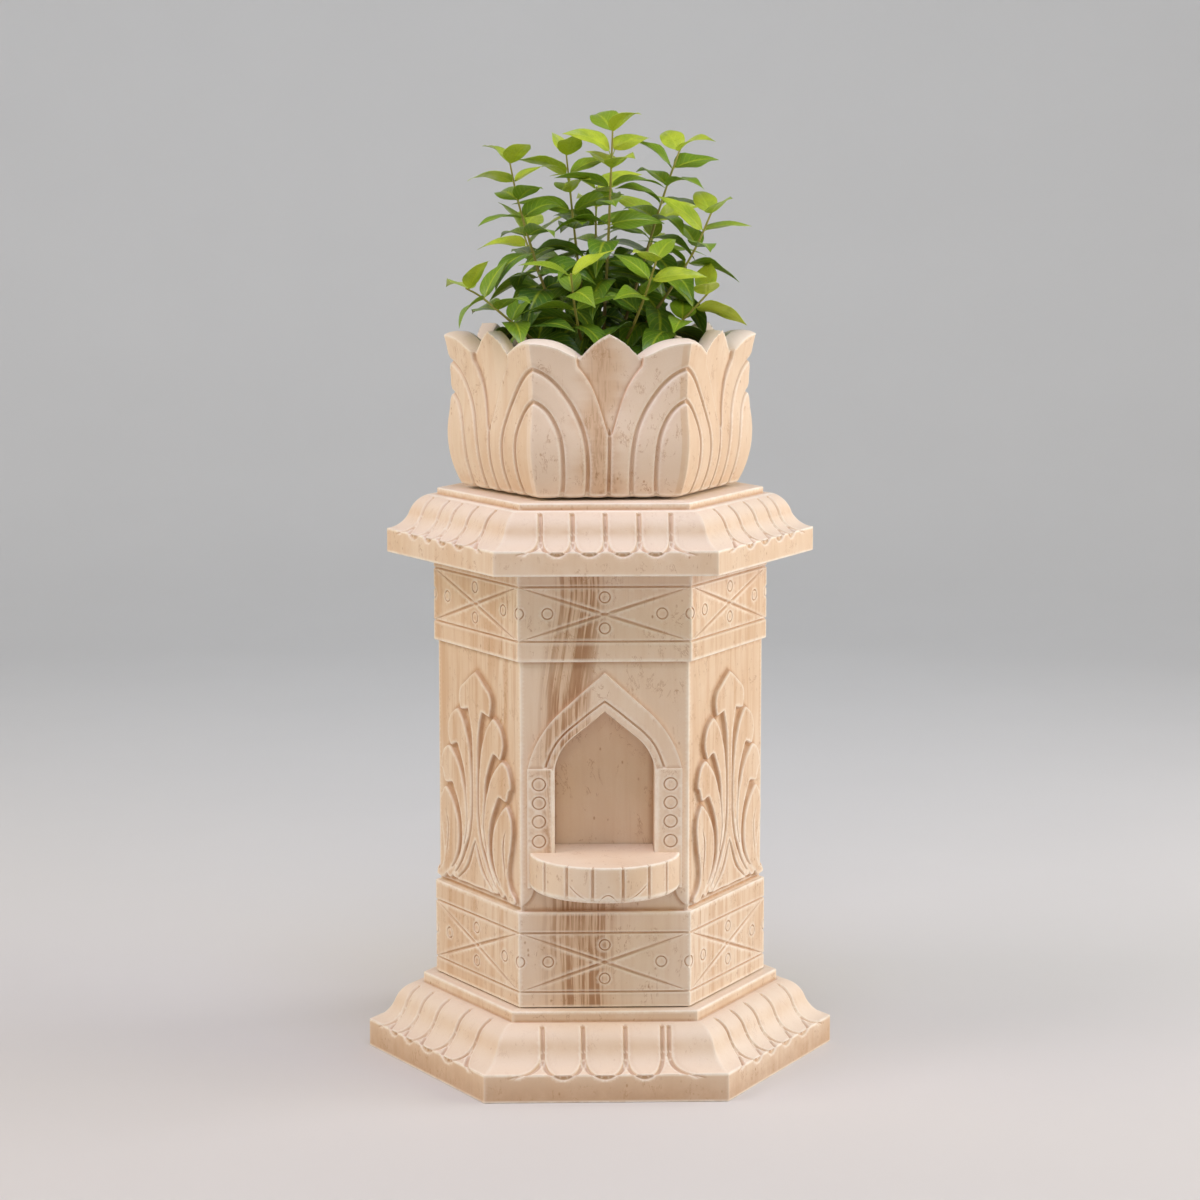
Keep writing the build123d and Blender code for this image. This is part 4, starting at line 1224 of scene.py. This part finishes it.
def pot_carving(section):
    """The set-back parts beside the middle petal, and the petals' veins."""
    carving = Carving(shoulder=1.1, painted_shade=0.6)
    edge = smooth_line(section.on_face(petal_edge), 2.4)
    top = section.at_height(petal_tip) + 8
    region = np.vstack([edge, [(46, top)], [(-46, top)], mirrored(edge)[::-1]])
    join_s = section.at_height(petal_join)

    def setback(spots):
        share = np.clip((spots[:, 1] - join_s) / (top - 14 - join_s), 0, 1)
        crest = np.clip(1 - np.abs(spots[:, 0]) / 26, 0, 1)
        return -petal_setback * (0.3 + 0.7 * share) + 1.6 * crest * share

    carving.field([resample(closed_line(region), 2.4)[:-1]], setback, 1.4)
    for vein in (outer_vein, inner_vein):
        line = smooth_line(section.on_face(vein), 2.4)
        carving.groove(line, vein_half, vein_depth)
        carving.groove(mirrored(line), vein_half, vein_depth)
    carving.groove(polyline(section.on_face([(-0.5, petal_join + 6), (-0.8, 709)])),
                   2.6, vein_depth, taper=([0, 0.12, 1], [0.4, 1, 1]))
    return carving


class PotSide:
    """One side of the pot: outer skin, rim and inner wall in one flat plane."""

    def __init__(self):
        self.carving = pot_carving(pot_section)
        self.find_rim()
        self.triangulate()
        self.shape()

    def find_rim(self):
        """The rim's front edge, and where it meets the next side's."""
        section = pot_section
        corner_t = float(section.out(section.at_height(pot_foot + corner_tip_h))) * tan_half
        valley = (valley_x, pot_foot + valley_h)
        right = arc_points((0, petal_tip), valley, tip_bulge, 14)
        right += arc_points(valley, (corner_t + 2, pot_foot + corner_tip_h), corner_petal_bulge, 18)[1:]
        rim = np.array([(-t, z) for t, z in right[::-1][:-1]] + right)
        self.rim = np.array([(t, section.at_height(z - rim_drop(t))) for t, z in rim])
        self.corner_t = 0.0
        for _ in range(8):
            self.corner_s = float(self.rim_at(self.corner_t))
            self.corner_t = float(self.limit(self.corner_s))

    def rim_at(self, t):
        return np.interp(t, self.rim[:, 0], self.rim[:, 1])

    def end_at(self, t):
        """Where the inner wall meets the pot's floor."""
        rim = self.rim_at(t)
        return rim + pot_wall + pot_section.up(rim) - pot_floor

    def limit(self, v):
        return pot_section.out(np.minimum(v, self.corner_s)) * tan_half - mitre_gap

    def triangulate(self):
        section, limit, corner_s = pot_section, self.limit, self.corner_s
        self.end = corner_s + pot_wall + (section.up(corner_s) - pot_floor)
        rows = [r for r in section.rows() if r < corner_s - 0.8]
        rows += [corner_s + step for step in rim_steps]
        rows += list(np.linspace(corner_s + pot_wall, self.end, 16)[1:])
        span = np.linspace(-1, 1, 81)[1:-1]
        top = span * limit(self.end)
        outline = strip_outline(limit, np.array(rows), level_line(limit, 0.0, span[::4]),
                                np.stack([top, self.end_at(top)], 1)[::-1])
        crest = resample(self.rim, 2.0)
        crest = crest[np.abs(crest[:, 0]) < self.corner_t - 0.5]
        joins = [np.vstack([[(-self.corner_t, corner_s + step)], crest + [0, step],
                            [(self.corner_t, corner_s + step)]]) for step in rim_steps]
        lines = []
        for line in clip_lines(self.carving.guides, limit, self.end):
            lines += split_line(line, line[:, 1] < self.rim_at(line[:, 0]) - 0.4)
        lines += section.levels(limit, corner_s - 25) + joins
        dots = grid_dots(limit, self.end, [outline] + lines, coarse=5.0)
        dots = dots[dots[:, 1] < self.end_at(dots[:, 0]) - 2]
        self.spots, self.faces = triangulate(outline, lines, dots)

    def shape(self):
        """Bends the flat side into its skin, rim and inner wall."""
        section, limit = pot_section, self.limit
        t, v = self.spots[:, 0], self.spots[:, 1]
        rim = self.rim_at(t)
        past = v - rim
        s = np.minimum(v, rim)
        height, stain, worn = self.carving.relief(np.stack([t, s], 1))
        na, nz = section.normal(s)
        base = section.out(s)
        out = base + na * height
        up = section.up(s) + nz * height * (past <= 0)
        rim_up = section.up(rim)
        share = np.interp(past, rim_steps, rim_shares)
        lift = rim_drop(t) * np.interp(past, rim_steps, rim_lifts)
        top_out = out + (cavity_flat(rim_up) - out) * share
        down = np.maximum(past - pot_wall, 0)
        wall_up = np.maximum(rim_up - down, pot_floor)
        over, within = past > 1e-6, down > 0
        self.out = np.where(over, np.where(within, cavity_flat(wall_up), top_out), out)
        self.up = np.where(over, np.where(within, wall_up, rim_up + lift), up)
        self.t = t * self.out / base
        # Painted shade deeper down inside the pot; the rim's top and the edges are made pale with wear
        # and painted highlight.
        self.stain = np.where(over, np.clip(down / 60, 0, 1) * 0.5, stain)
        self.worn = np.where(over, 0.25, worn)
        edges = [(limit(v) - np.abs(t), 1.6, 0.25), (past, 1.8, 1.0), (past - pot_wall, 1.8, 1.0)]
        edges += [(v - mark, 1.6, 1.0) for mark, _ in section.marks]
        for distance, width, strength in edges:
            self.worn = np.maximum(self.worn, bell(distance, width) * strength)
        self.right_rim = edge_spots(t, v, limit, 1)
        self.left_rim = edge_spots(t, v, limit, -1)
        self.low_rim = level_spots(t, v, 0.0)
        corner = np.isclose(np.abs(t), limit(self.end)) & np.isclose(v, self.end)
        high = np.where((np.abs(v - self.end_at(t)) < 1e-3) | corner)[0]
        self.high_rim = high[np.argsort(t[high])]


def pot_block():
    """Six sides, the foot and the floor, with the drain hole through them."""
    shell, low, high = build_block([PotSide()] * sides, pot_turn)
    hole = ring_line((0, 0), drain_r, 32)[:-1]
    bores = []
    for ring, z, flip in ((low, pot_foot, True), (high, pot_floor, False)):
        outline = np.vstack(shell.spots)[ring][:, :2]
        start, flat = fill_ring(shell, ring, outline, lambda flat: at_level(flat, z), hole=hole,
                                flip=flip)
        bores.append([start + i for i in nearest(flat, hole)])
    join_rings(shell, bores[1], bores[0])
    return shell.build("lotus_pot_carved")


def at_level(flat, z):
    return np.column_stack([flat, np.full(len(flat), z)])


pot_piece = pot_block()
finish_piece(pot_piece, pot_stone, "pot", "stone", "lotus_pot")


# ---- Soil ----

soil_top = soil_high[2]
soil_dip = 6.0
soil_gap = 0.6  # between the soil and the pot's wall


def soil_ring(z):
    """The soil's six-sided outline at a height."""
    radius = cavity_flat(z) / cos_half - soil_gap
    angles = np.radians(np.arange(sides) * 60 + pot_turn)
    corners = np.stack([radius * np.cos(angles), radius * np.sin(angles)], 1)
    return resample(closed_line(corners), 5.0)[:-1]


def soil_block():
    """Lumpy soil, a little lower towards the pot's wall."""
    outline = soil_ring(soil_top)
    reach = cavity_flat(soil_top) / cos_half
    rows = np.arange(-reach, reach, 4.0)
    grid = np.array([(x + (i % 2) * 2.0, y) for i, y in enumerate(rows) for x in rows])
    flat, faces = triangulate(outline, dots=inner_dots(grid, outline, 2.5))
    edge = line_distance(flat, closed_line(outline))[0]
    lumps = np.array([noise.fractal(Vector((x * 0.045, y * 0.045, 3.0)), 1.0, 2.0, 5)
                      for x, y in flat])
    crumbs = np.array([noise.noise(Vector((x * 0.21, y * 0.21, 9.0))) for x, y in flat])
    z = soil_top - soil_dip * 0.55 + 1.7 * lumps + 1.1 * crumbs
    z = np.minimum(z - soil_dip * np.exp(-edge / 9.0) * 0.6, soil_top - 0.05)
    shell = Shell()
    shell.add(np.column_stack([flat, z]), faces.tolist())
    low = soil_ring(soil_low[2])
    count = len(outline)
    at, was = np.linspace(0, 1, count, endpoint=False), np.linspace(0, 1, len(low) + 1)
    low = np.stack([np.interp(at, was, line) for line in closed_line(low).T], 1)
    first = shell.add(at_level(low, soil_low[2]))
    foot = list(range(first, first + count))
    join_rings(shell, foot, nearest(flat, outline))
    shell.faces.append(foot[::-1])
    return shell.build("soil_bed", 80.0)


def soil_material():
    graph = Graph("soil")
    clods = graph.noise(graph.place, 160.0, 6, 0.7)
    fibre = graph.noise(graph.place, 700.0, 3, 0.6)
    colour = graph.mix(graph.ramp(clods, 0.35, 0.7), (0.030, 0.018, 0.010, 1), (0.105, 0.062, 0.034, 1))
    colour = graph.mix(graph.ramp(fibre, 0.62, 0.74, 0.0, 0.5), colour, (0.22, 0.15, 0.09, 1))
    return graph.finish(colour, 0.95, graph.bump(clods, 0.9, 0.004))


finish_piece(soil_block(), soil_material(), "pot", "soil", "potting_soil")


# ---- Plant ----

# The stems' routes, as in the part's source: (x, y, height above the soil).
stem_routes = [
    [(-34, -24, 0), (-70, -52, 30), (-108, -74, 62), (-144, -84, 94), (-163, -88, 104)],
    [(-26, -6, 0), (-46, -14, 42), (-68, -22, 98), (-85, -26, 152), (-101, -28, 207),
     (-110, -28, 253)],
    [(-8, 14, 0), (-18, 18, 64), (-26, 20, 122), (-33, 22, 184), (-41, 24, 262)],
    [(2, -16, 0), (4, -22, 66), (8, -26, 138), (11, -28, 214), (14, -28, 292)],
    [(12, 8, 0), (32, 10, 62), (52, 12, 126), (70, 14, 188), (86, 16, 236), (98, 16, 268)],
    [(22, -6, 0), (52, -14, 52), (84, -22, 98), (114, -28, 146), (134, -30, 194)],
    [(32, -22, 0), (66, -44, 34), (98, -60, 64), (128, -72, 98)],
    [(-18, 30, 0), (-50, 58, 60), (-78, 84, 120), (-96, 104, 170)],
    [(20, 30, 0), (44, 66, 66), (62, 98, 128), (74, 116, 180)],
    [(0, 44, 0), (2, 62, 74), (-4, 80, 148), (-2, 92, 220)],
    [(-14, -34, 0), (-26, -62, 42), (-34, -88, 84), (-38, -104, 122)],
    [(16, -36, 0), (34, -60, 48), (52, -82, 96), (64, -96, 138)],
]
stem_bury, stem_sprout = 25.0, 14.0  # upright lengths of a stem below and above the soil
stem_foot_r, stem_tip_r = 2.6, 1.1


def stem_path(route, steps=9):
    """A smooth line close to the route, tangent to each of its runs."""
    root = np.array([route[0][0], route[0][1], soil_top + route[0][2]], float)
    corners = [root - [0, 0, stem_bury], root + [0, 0, stem_sprout]]
    corners += [np.array([x, y, soil_top + h], float) for x, y, h in route[1:]]
    middles = [(a + b) / 2 for a, b in zip(corners, corners[1:])]
    path = [corners[0]]
    for before, corner, after in zip(middles, corners[1:-1], middles[1:]):
        for u in np.linspace(0, 1, steps):
            path.append((1 - u) ** 2 * before + 2 * u * (1 - u) * corner + u ** 2 * after)
    path.append(corners[-1])
    keep = [path[0]]
    for point in path[1:]:
        if np.linalg.norm(point - keep[-1]) > 0.5:
            keep.append(point)
    return np.array(keep)


def tube(shell, path, radii, count=8, worn=0.0):
    """A round tube along a path, closed at both ends."""
    run = np.gradient(path, axis=0)
    run /= np.linalg.norm(run, axis=1)[:, None]
    across = np.cross(run[0], [0.3, 0.9, 0.1])
    angles = np.linspace(0, 2 * math.pi, count, endpoint=False)
    spots = []
    for point, along, radius in zip(path, run, radii):
        across = across - along * (across @ along)
        across /= np.linalg.norm(across)
        up = np.cross(along, across)
        spots.append(point + radius * (np.cos(angles)[:, None] * across + np.sin(angles)[:, None] * up))
    share = np.repeat(np.linspace(0, 1, len(path)), count)
    start = shell.add(np.vstack(spots), stain=share, worn=worn)
    rings = [[start + row * count + i for i in range(count)] for row in range(len(path))]
    for low, high in zip(rings, rings[1:]):
        join_rings(shell, low, high)
    shell.faces += [rings[0][::-1], rings[-1]]


stem_paths = [stem_path(route) for route in stem_routes]


def stem_piece():
    shell = Shell()
    for index, path in enumerate(stem_paths):
        steps = np.linalg.norm(np.diff(path, axis=0), axis=1)
        share = np.concatenate([[0], np.cumsum(steps)]) / steps.sum()
        radii = stem_foot_r + (stem_tip_r - stem_foot_r) * share
        radii = radii * (1 + 0.08 * np.sin(share * 60 + index))
        tube(shell, path, radii)
    return shell.build("leafy_stems", 60.0)


def stem_material():
    """Brown at the foot, green-yellow at the tips; stain is how far up its stem a spot is."""
    graph = Graph("stem")
    bark = graph.noise(graph.scaled(graph.place, (1, 1, 0.2)), 500.0, 4, 0.6)
    height = graph.attribute("stain")
    colour = graph.mix(graph.ramp(height, 0.1, 0.8), (0.24, 0.135, 0.055, 1), (0.34, 0.33, 0.06, 1))
    colour = graph.mix(graph.ramp(bark, 0.45, 0.7, 0.0, 0.45), colour, (0.36, 0.24, 0.12, 1))
    return graph.finish(colour, 0.55, graph.bump(bark, 0.5, 0.0006))


finish_piece(stem_piece(), stem_material(), "pot", "stem", "tulsi_stems")


def mesh_islands(node):
    """The separate solids of a CAD node, each as an array of its corners in millimetres."""
    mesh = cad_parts[node].data
    count = len(mesh.vertices)
    places = np.empty(count * 3)
    mesh.vertices.foreach_get("co", places)
    places = places.reshape(-1, 3) / MM
    _, same = np.unique(np.round(places, 3), axis=0, return_inverse=True)
    parent = list(range(same.max() + 1))

    def root(i):
        while parent[i] != i:
            parent[i] = parent[parent[i]]
            i = parent[i]
        return i

    for edge in mesh.edges:
        a, b = root(same[edge.vertices[0]]), root(same[edge.vertices[1]])
        parent[a] = b
    groups = {}
    for index in range(count):
        groups.setdefault(root(same[index]), []).append(index)
    return [places[group] for group in groups.values()]


def leaf_frame(corners):
    """Base, length, direction and face of one flat CAD leaf."""
    middle = corners.mean(0)
    far = corners[np.argmax(np.linalg.norm(corners - middle, axis=1))]
    other = corners[np.argmax(np.linalg.norm(corners - far, axis=1))]
    gaps = [min(np.linalg.norm(path - end, axis=1).min() for path in stem_paths)
            for end in (far, other)]
    base, tip = (far, other) if gaps[0] < gaps[1] else (other, far)
    along = (tip - base) / np.linalg.norm(tip - base)
    off = corners - base
    off = off - np.outer(off @ along, along)
    across = off[np.argmax(np.linalg.norm(off, axis=1))]
    across /= np.linalg.norm(across)
    face = np.cross(along, across)
    if face[2] < 0:
        face = -face
    return base, np.linalg.norm(tip - base), along, face


# A blade's spots, as shares of its length and of its half-width.
blade_rows = [0.0, 0.05, 0.12, 0.2, 0.3, 0.4, 0.5, 0.6, 0.7, 0.8, 0.88, 0.95, 1.0]
blade_columns = [-1.0, -0.7, -0.36, 0.0, 0.36, 0.7, 1.0]
blade_t = 0.35  # its thickness
tip_share = 0.93  # of its stem's length, past which a leaf is a young tip leaf
front_share = 0.68  # of the leaves, which turn their face towards the front
# No blade rises above the CAD plant's top.
plant_top = max(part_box("mature_leaves")[1][2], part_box("young_leaves")[1][2]) / MM - 0.5
upright = np.array([0.0, 0.0, 1.0])


def blade_width(u):
    """Half-width of a blade along its length, as a share of its widest."""
    return 1.38 * math.sin(math.pi * u ** 0.72) ** 0.95 * (1 - 0.5 * u) if 0 < u < 1 else 0.0


def blade_spots(base, length, along, up, width, look):
    """A blade that arches over, folded along its midrib, with a wavy edge and a drawn-out tip.

    look holds its bend, its fold, its twist, and its edge's wave and that wave's phase.
    """
    bend, fold, twist, wave, phase = look
    across = np.cross(along, up)
    across /= np.linalg.norm(across)
    centre, previous = base.copy(), 0.0
    spots, ribs = [], []
    for u in blade_rows:
        middle = bend * ((u + previous) / 2) ** 1.1
        centre = centre + (along * math.cos(middle) - up * math.sin(middle)) * length * (u - previous)
        previous = u
        turn = bend * u ** 1.1
        rise = up * math.cos(turn) + along * math.sin(turn)
        spin = twist * u
        side = across * math.cos(spin) + rise * math.sin(spin)
        rise = rise * math.cos(spin) - across * math.sin(spin)
        half = max(blade_width(u) * width / 2, 0.3)
        for v in blade_columns:
            lift = fold * abs(v) * half * (1.15 - 0.45 * abs(v))
            lift += wave * half * math.sin(10 * u + phase + 2.5 * (v > 0)) * abs(v) ** 2
            spots.append(centre + side * v * half * math.sqrt(1 - 0.3 * fold ** 2) + rise * lift)
            ribs.append(u - 0.3 * abs(v))
    return np.array(spots), np.array(ribs)


def add_blade(shell, base, length, along, up, width, look, age):
    """One closed leaf blade."""
    for _ in range(6):
        top, ribs = blade_spots(base, length, along, up, width, look)
        if top[:, 2].max() < plant_top:
            break
        length *= 0.88
    columns, rows, count = len(blade_columns), len(blade_rows), len(top)
    below = top - up * blade_t
    faces = []
    for row in range(rows - 1):
        for column in range(columns - 1):
            a = row * columns + column
            quad = [a, a + 1, a + columns + 1, a + columns]
            faces.append(quad)
            faces.append([count + i for i in quad[::-1]])
    ring = list(range(columns)) + [r * columns + columns - 1 for r in range(1, rows)]
    ring += [(rows - 1) * columns + c for c in range(columns - 2, -1, -1)]
    ring += [r * columns for r in range(rows - 2, 0, -1)]
    for a, b in zip(ring, ring[1:] + ring[:1]):
        faces.append([b, a, count + a, count + b])
    near = np.tile(1 - np.abs(blade_columns), rows)
    shell.add(np.vstack([top, below]), faces, stain=age, worn=np.tile(near, 2), ribs=np.tile(ribs, 2))


def foliage(name, node, length_share, width, droop, seed):
    """Blades in the places of a node's flat leaves."""
    chance = random.Random(seed)
    shell = Shell()
    for corners in mesh_islands(node):
        base, length, along, face = leaf_frame(corners)
        gaps = [np.linalg.norm(path - base, axis=1) for path in stem_paths]
        which = int(np.argmin([gap.min() for gap in gaps]))
        path, spot = stem_paths[which], int(gaps[which].argmin())
        share = spot / (len(path) - 1)
        age = min(0.6, 0.65 * share + chance.uniform(-0.12, 0.2))
        if share > tip_share:
            age = chance.uniform(0.7, 1.0)
        up = upright - along * along[2]
        roll = np.array([0.0, -1.0 if chance.random() < front_share else 1.0, 0.0])
        up = up / np.linalg.norm(up) + 0.4 * face + chance.uniform(0.15, 0.95) * roll
        up -= along * (up @ along)
        up /= np.linalg.norm(up)
        bend = chance.uniform(*droop) * (1.15 - 0.5 * share)
        look = (bend, chance.uniform(0.1, 0.42), chance.uniform(-0.4, 0.4),
                chance.uniform(0.02, 0.12), chance.uniform(0, 6.28))
        size = length * length_share * chance.uniform(0.88, 1.05)
        add_blade(shell, base, size, along, up, width * chance.uniform(0.85, 1.08), look, age)
        start = path[spot] + (base - path[spot]) * 0.1
        stalk = np.array([start, (start + base) / 2 - [0, 0, 0.4], base + along * 3.0])
        tube(shell, stalk, [0.85, 0.7, 0.5], 6, 1.0)
    return shell.build(name, 50.0)


def leaf_material(name, dark, light, tip):
    """Glossy leaf: stain is its age, worn is how near its midrib a spot is, ribs runs along it."""
    graph = Graph(name)
    ramp, times = graph.ramp, graph.times
    age, rib, run = (graph.attribute(kept) for kept in ("stain", "worn", "ribs"))
    blotch = graph.noise(graph.place, 45.0, 4, 0.6)
    cells = graph.noise(graph.place, 600.0, 3, 0.6)
    side_rib = ramp(graph.math("SINE", times(run, 50.0)), 0.75, 1.0)
    colour = graph.mix(ramp(age, 0.0, 0.7), dark, light)
    colour = graph.mix(ramp(age, 0.66, 0.95, 0.0, 0.9), colour, tip)
    colour = graph.mix(ramp(blotch, 0.42, 0.68, 0.0, 0.55), colour, light)
    colour = graph.mix(ramp(rib, 0.84, 1.0, 0.0, 0.55), colour, tip)
    colour = graph.mix(times(side_rib, 0.22), colour, tip)
    height = graph.math("ADD", times(cells, 0.25), times(side_rib, -0.5))
    height = graph.math("SUBTRACT", height, ramp(rib, 0.8, 1.0))
    return graph.finish(colour, ramp(cells, 0.3, 0.7, 0.26, 0.42),
                        graph.bump(height, 0.5, 0.0008), Specular_IOR_Level=0.55)


leaf_tip = (0.56, 0.68, 0.05, 1)
mature_material = leaf_material("mature_leaf", (0.046, 0.125, 0.018, 1), (0.135, 0.265, 0.018, 1),
                                leaf_tip)
young_material = leaf_material("young_leaf", (0.070, 0.170, 0.014, 1), (0.200, 0.340, 0.020, 1),
                               leaf_tip)
finish_piece(foliage("mature_foliage", "mature_leaves", 1.55, 36.0, (1.1, 1.95), 11),
             mature_material, "pot", "mature_leaf", "mature_leaves")
finish_piece(foliage("young_foliage", "young_leaves", 1.62, 29.0, (0.7, 1.5), 23),
             young_material, "pot", "young_leaf", "young_leaves")


# ---- Pieces of the frame that keep their CAD shape ----

cad_finishes = (
    (plain_material("mortar", (0.24, 0.185, 0.14), 0.95),
     ("base_bedding", "cornice_bedding", "shelf_mortar")),
    (plain_material("steel", (0.55, 0.55, 0.56), 0.35, metallic=1.0),
     ("base_dowels", "cornice_dowels", "shelf_pins")),
    (plain_material("rubber", (0.02, 0.02, 0.02), 0.8), ("pot_pads",)),
    (plain_material("mesh", (0.03, 0.035, 0.03), 0.6), ("drain_mesh",)),
    (plain_material("gravel", (0.32, 0.29, 0.26), 0.9), ("gravel_bed",)),
)
for material, nodes in cad_finishes:
    for node in nodes:
        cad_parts[node].data.materials.clear()
        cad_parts[node].data.materials.append(material)


# ---- Camera and light ----

camera_place = (-0.11690, -3.99733, 1.15822)
camera_forward = Vector((0.0287979, 0.988737, -0.1468665))
camera_lens = 98.25


def add_camera():
    data = bpy.data.cameras.new("camera")
    data.lens = camera_lens
    data.sensor_width = 36.0
    camera = bpy.data.objects.new("camera", data)
    camera.location = camera_place
    camera.rotation_euler = camera_forward.to_track_quat("-Z", "Y").to_euler()
    bpy.context.scene.collection.objects.link(camera)
    bpy.context.scene.camera = camera


def add_light(name, place, aim, size, power, colour):
    data = bpy.data.lights.new(name, "AREA")
    data.shape = "DISK"
    data.size = size
    data.energy = power
    data.color = colour
    light = bpy.data.objects.new(name, data)
    light.location = place
    light.rotation_euler = (Vector(aim) - Vector(place)).to_track_quat("-Z", "Y").to_euler()
    light.visible_camera = False
    bpy.context.scene.collection.objects.link(light)


def add_floor():
    """A round floor whose rim curves up into a backdrop."""
    steps = 96
    profile = ((3.2, 0.0), (3.8, 0.05), (4.4, 0.3), (4.9, 0.9), (5.3, 1.9), (5.5, 4.0))
    spots = [(0, 0, 0)]
    for r, z in profile:
        spots += [(r * math.cos(2 * math.pi * i / steps), r * math.sin(2 * math.pi * i / steps), z)
                  for i in range(steps)]
    faces = [(0, 1 + i, 1 + (i + 1) % steps) for i in range(steps)]
    for ring in range(len(profile) - 1):
        low, high = 1 + ring * steps, 1 + (ring + 1) * steps
        faces += [(low + i, high + i, high + (i + 1) % steps, low + (i + 1) % steps)
                  for i in range(steps)]
    mesh = bpy.data.meshes.new("floor")
    mesh.from_pydata(spots, [], faces)
    mesh.polygons.foreach_set("use_smooth", [True] * len(mesh.polygons))
    mesh.materials.append(plain_material("floor", (0.70, 0.695, 0.705), 0.8, scale=3, spread=0.02,
                                         bump=0))
    floor = bpy.data.objects.new("floor", mesh)
    bpy.context.scene.collection.objects.link(floor)


add_camera()
add_floor()
add_light("light_top", (0.2, -1.3, 3.7), (0, 0, 0.6), 1.9, 53, (0.70, 0.76, 1.0))
add_light("light_right", (3.0, -1.1, 2.2), (0, 0, 0.6), 1.8, 27, (1.0, 0.90, 0.58))
add_light("light_right_low", (3.2, 0.2, 1.2), (0, 0, 0.5), 1.6, 50, (1.0, 0.94, 0.93))
add_light("light_left", (-2.3, -1.1, 3.3), (0, 0, 0.6), 1.6, 41, (1.0, 0.84, 0.84))
add_light("light_left_low", (-3.2, 0.0, 1.2), (0, 0, 0.5), 1.6, 23, (1.0, 0.90, 0.58))
add_light("light_front", (-0.4, -4.4, 2.2), (0, 0, 0.6), 2.0, 16, (1.0, 0.90, 0.60))
add_light("light_wall", (0, 1.3, 3.5), (0, 5.3, 1.5), 3.0, 47, (0.70, 0.85, 1.0))
world = bpy.data.worlds.new("studio")
world.use_nodes = True
world.node_tree.nodes["Background"].inputs["Color"].default_value = (1.0, 0.90, 0.56, 1)
world.node_tree.nodes["Background"].inputs["Strength"].default_value = 0.16
bpy.context.scene.world = world
bpy.context.scene.view_settings.view_transform = "Standard"
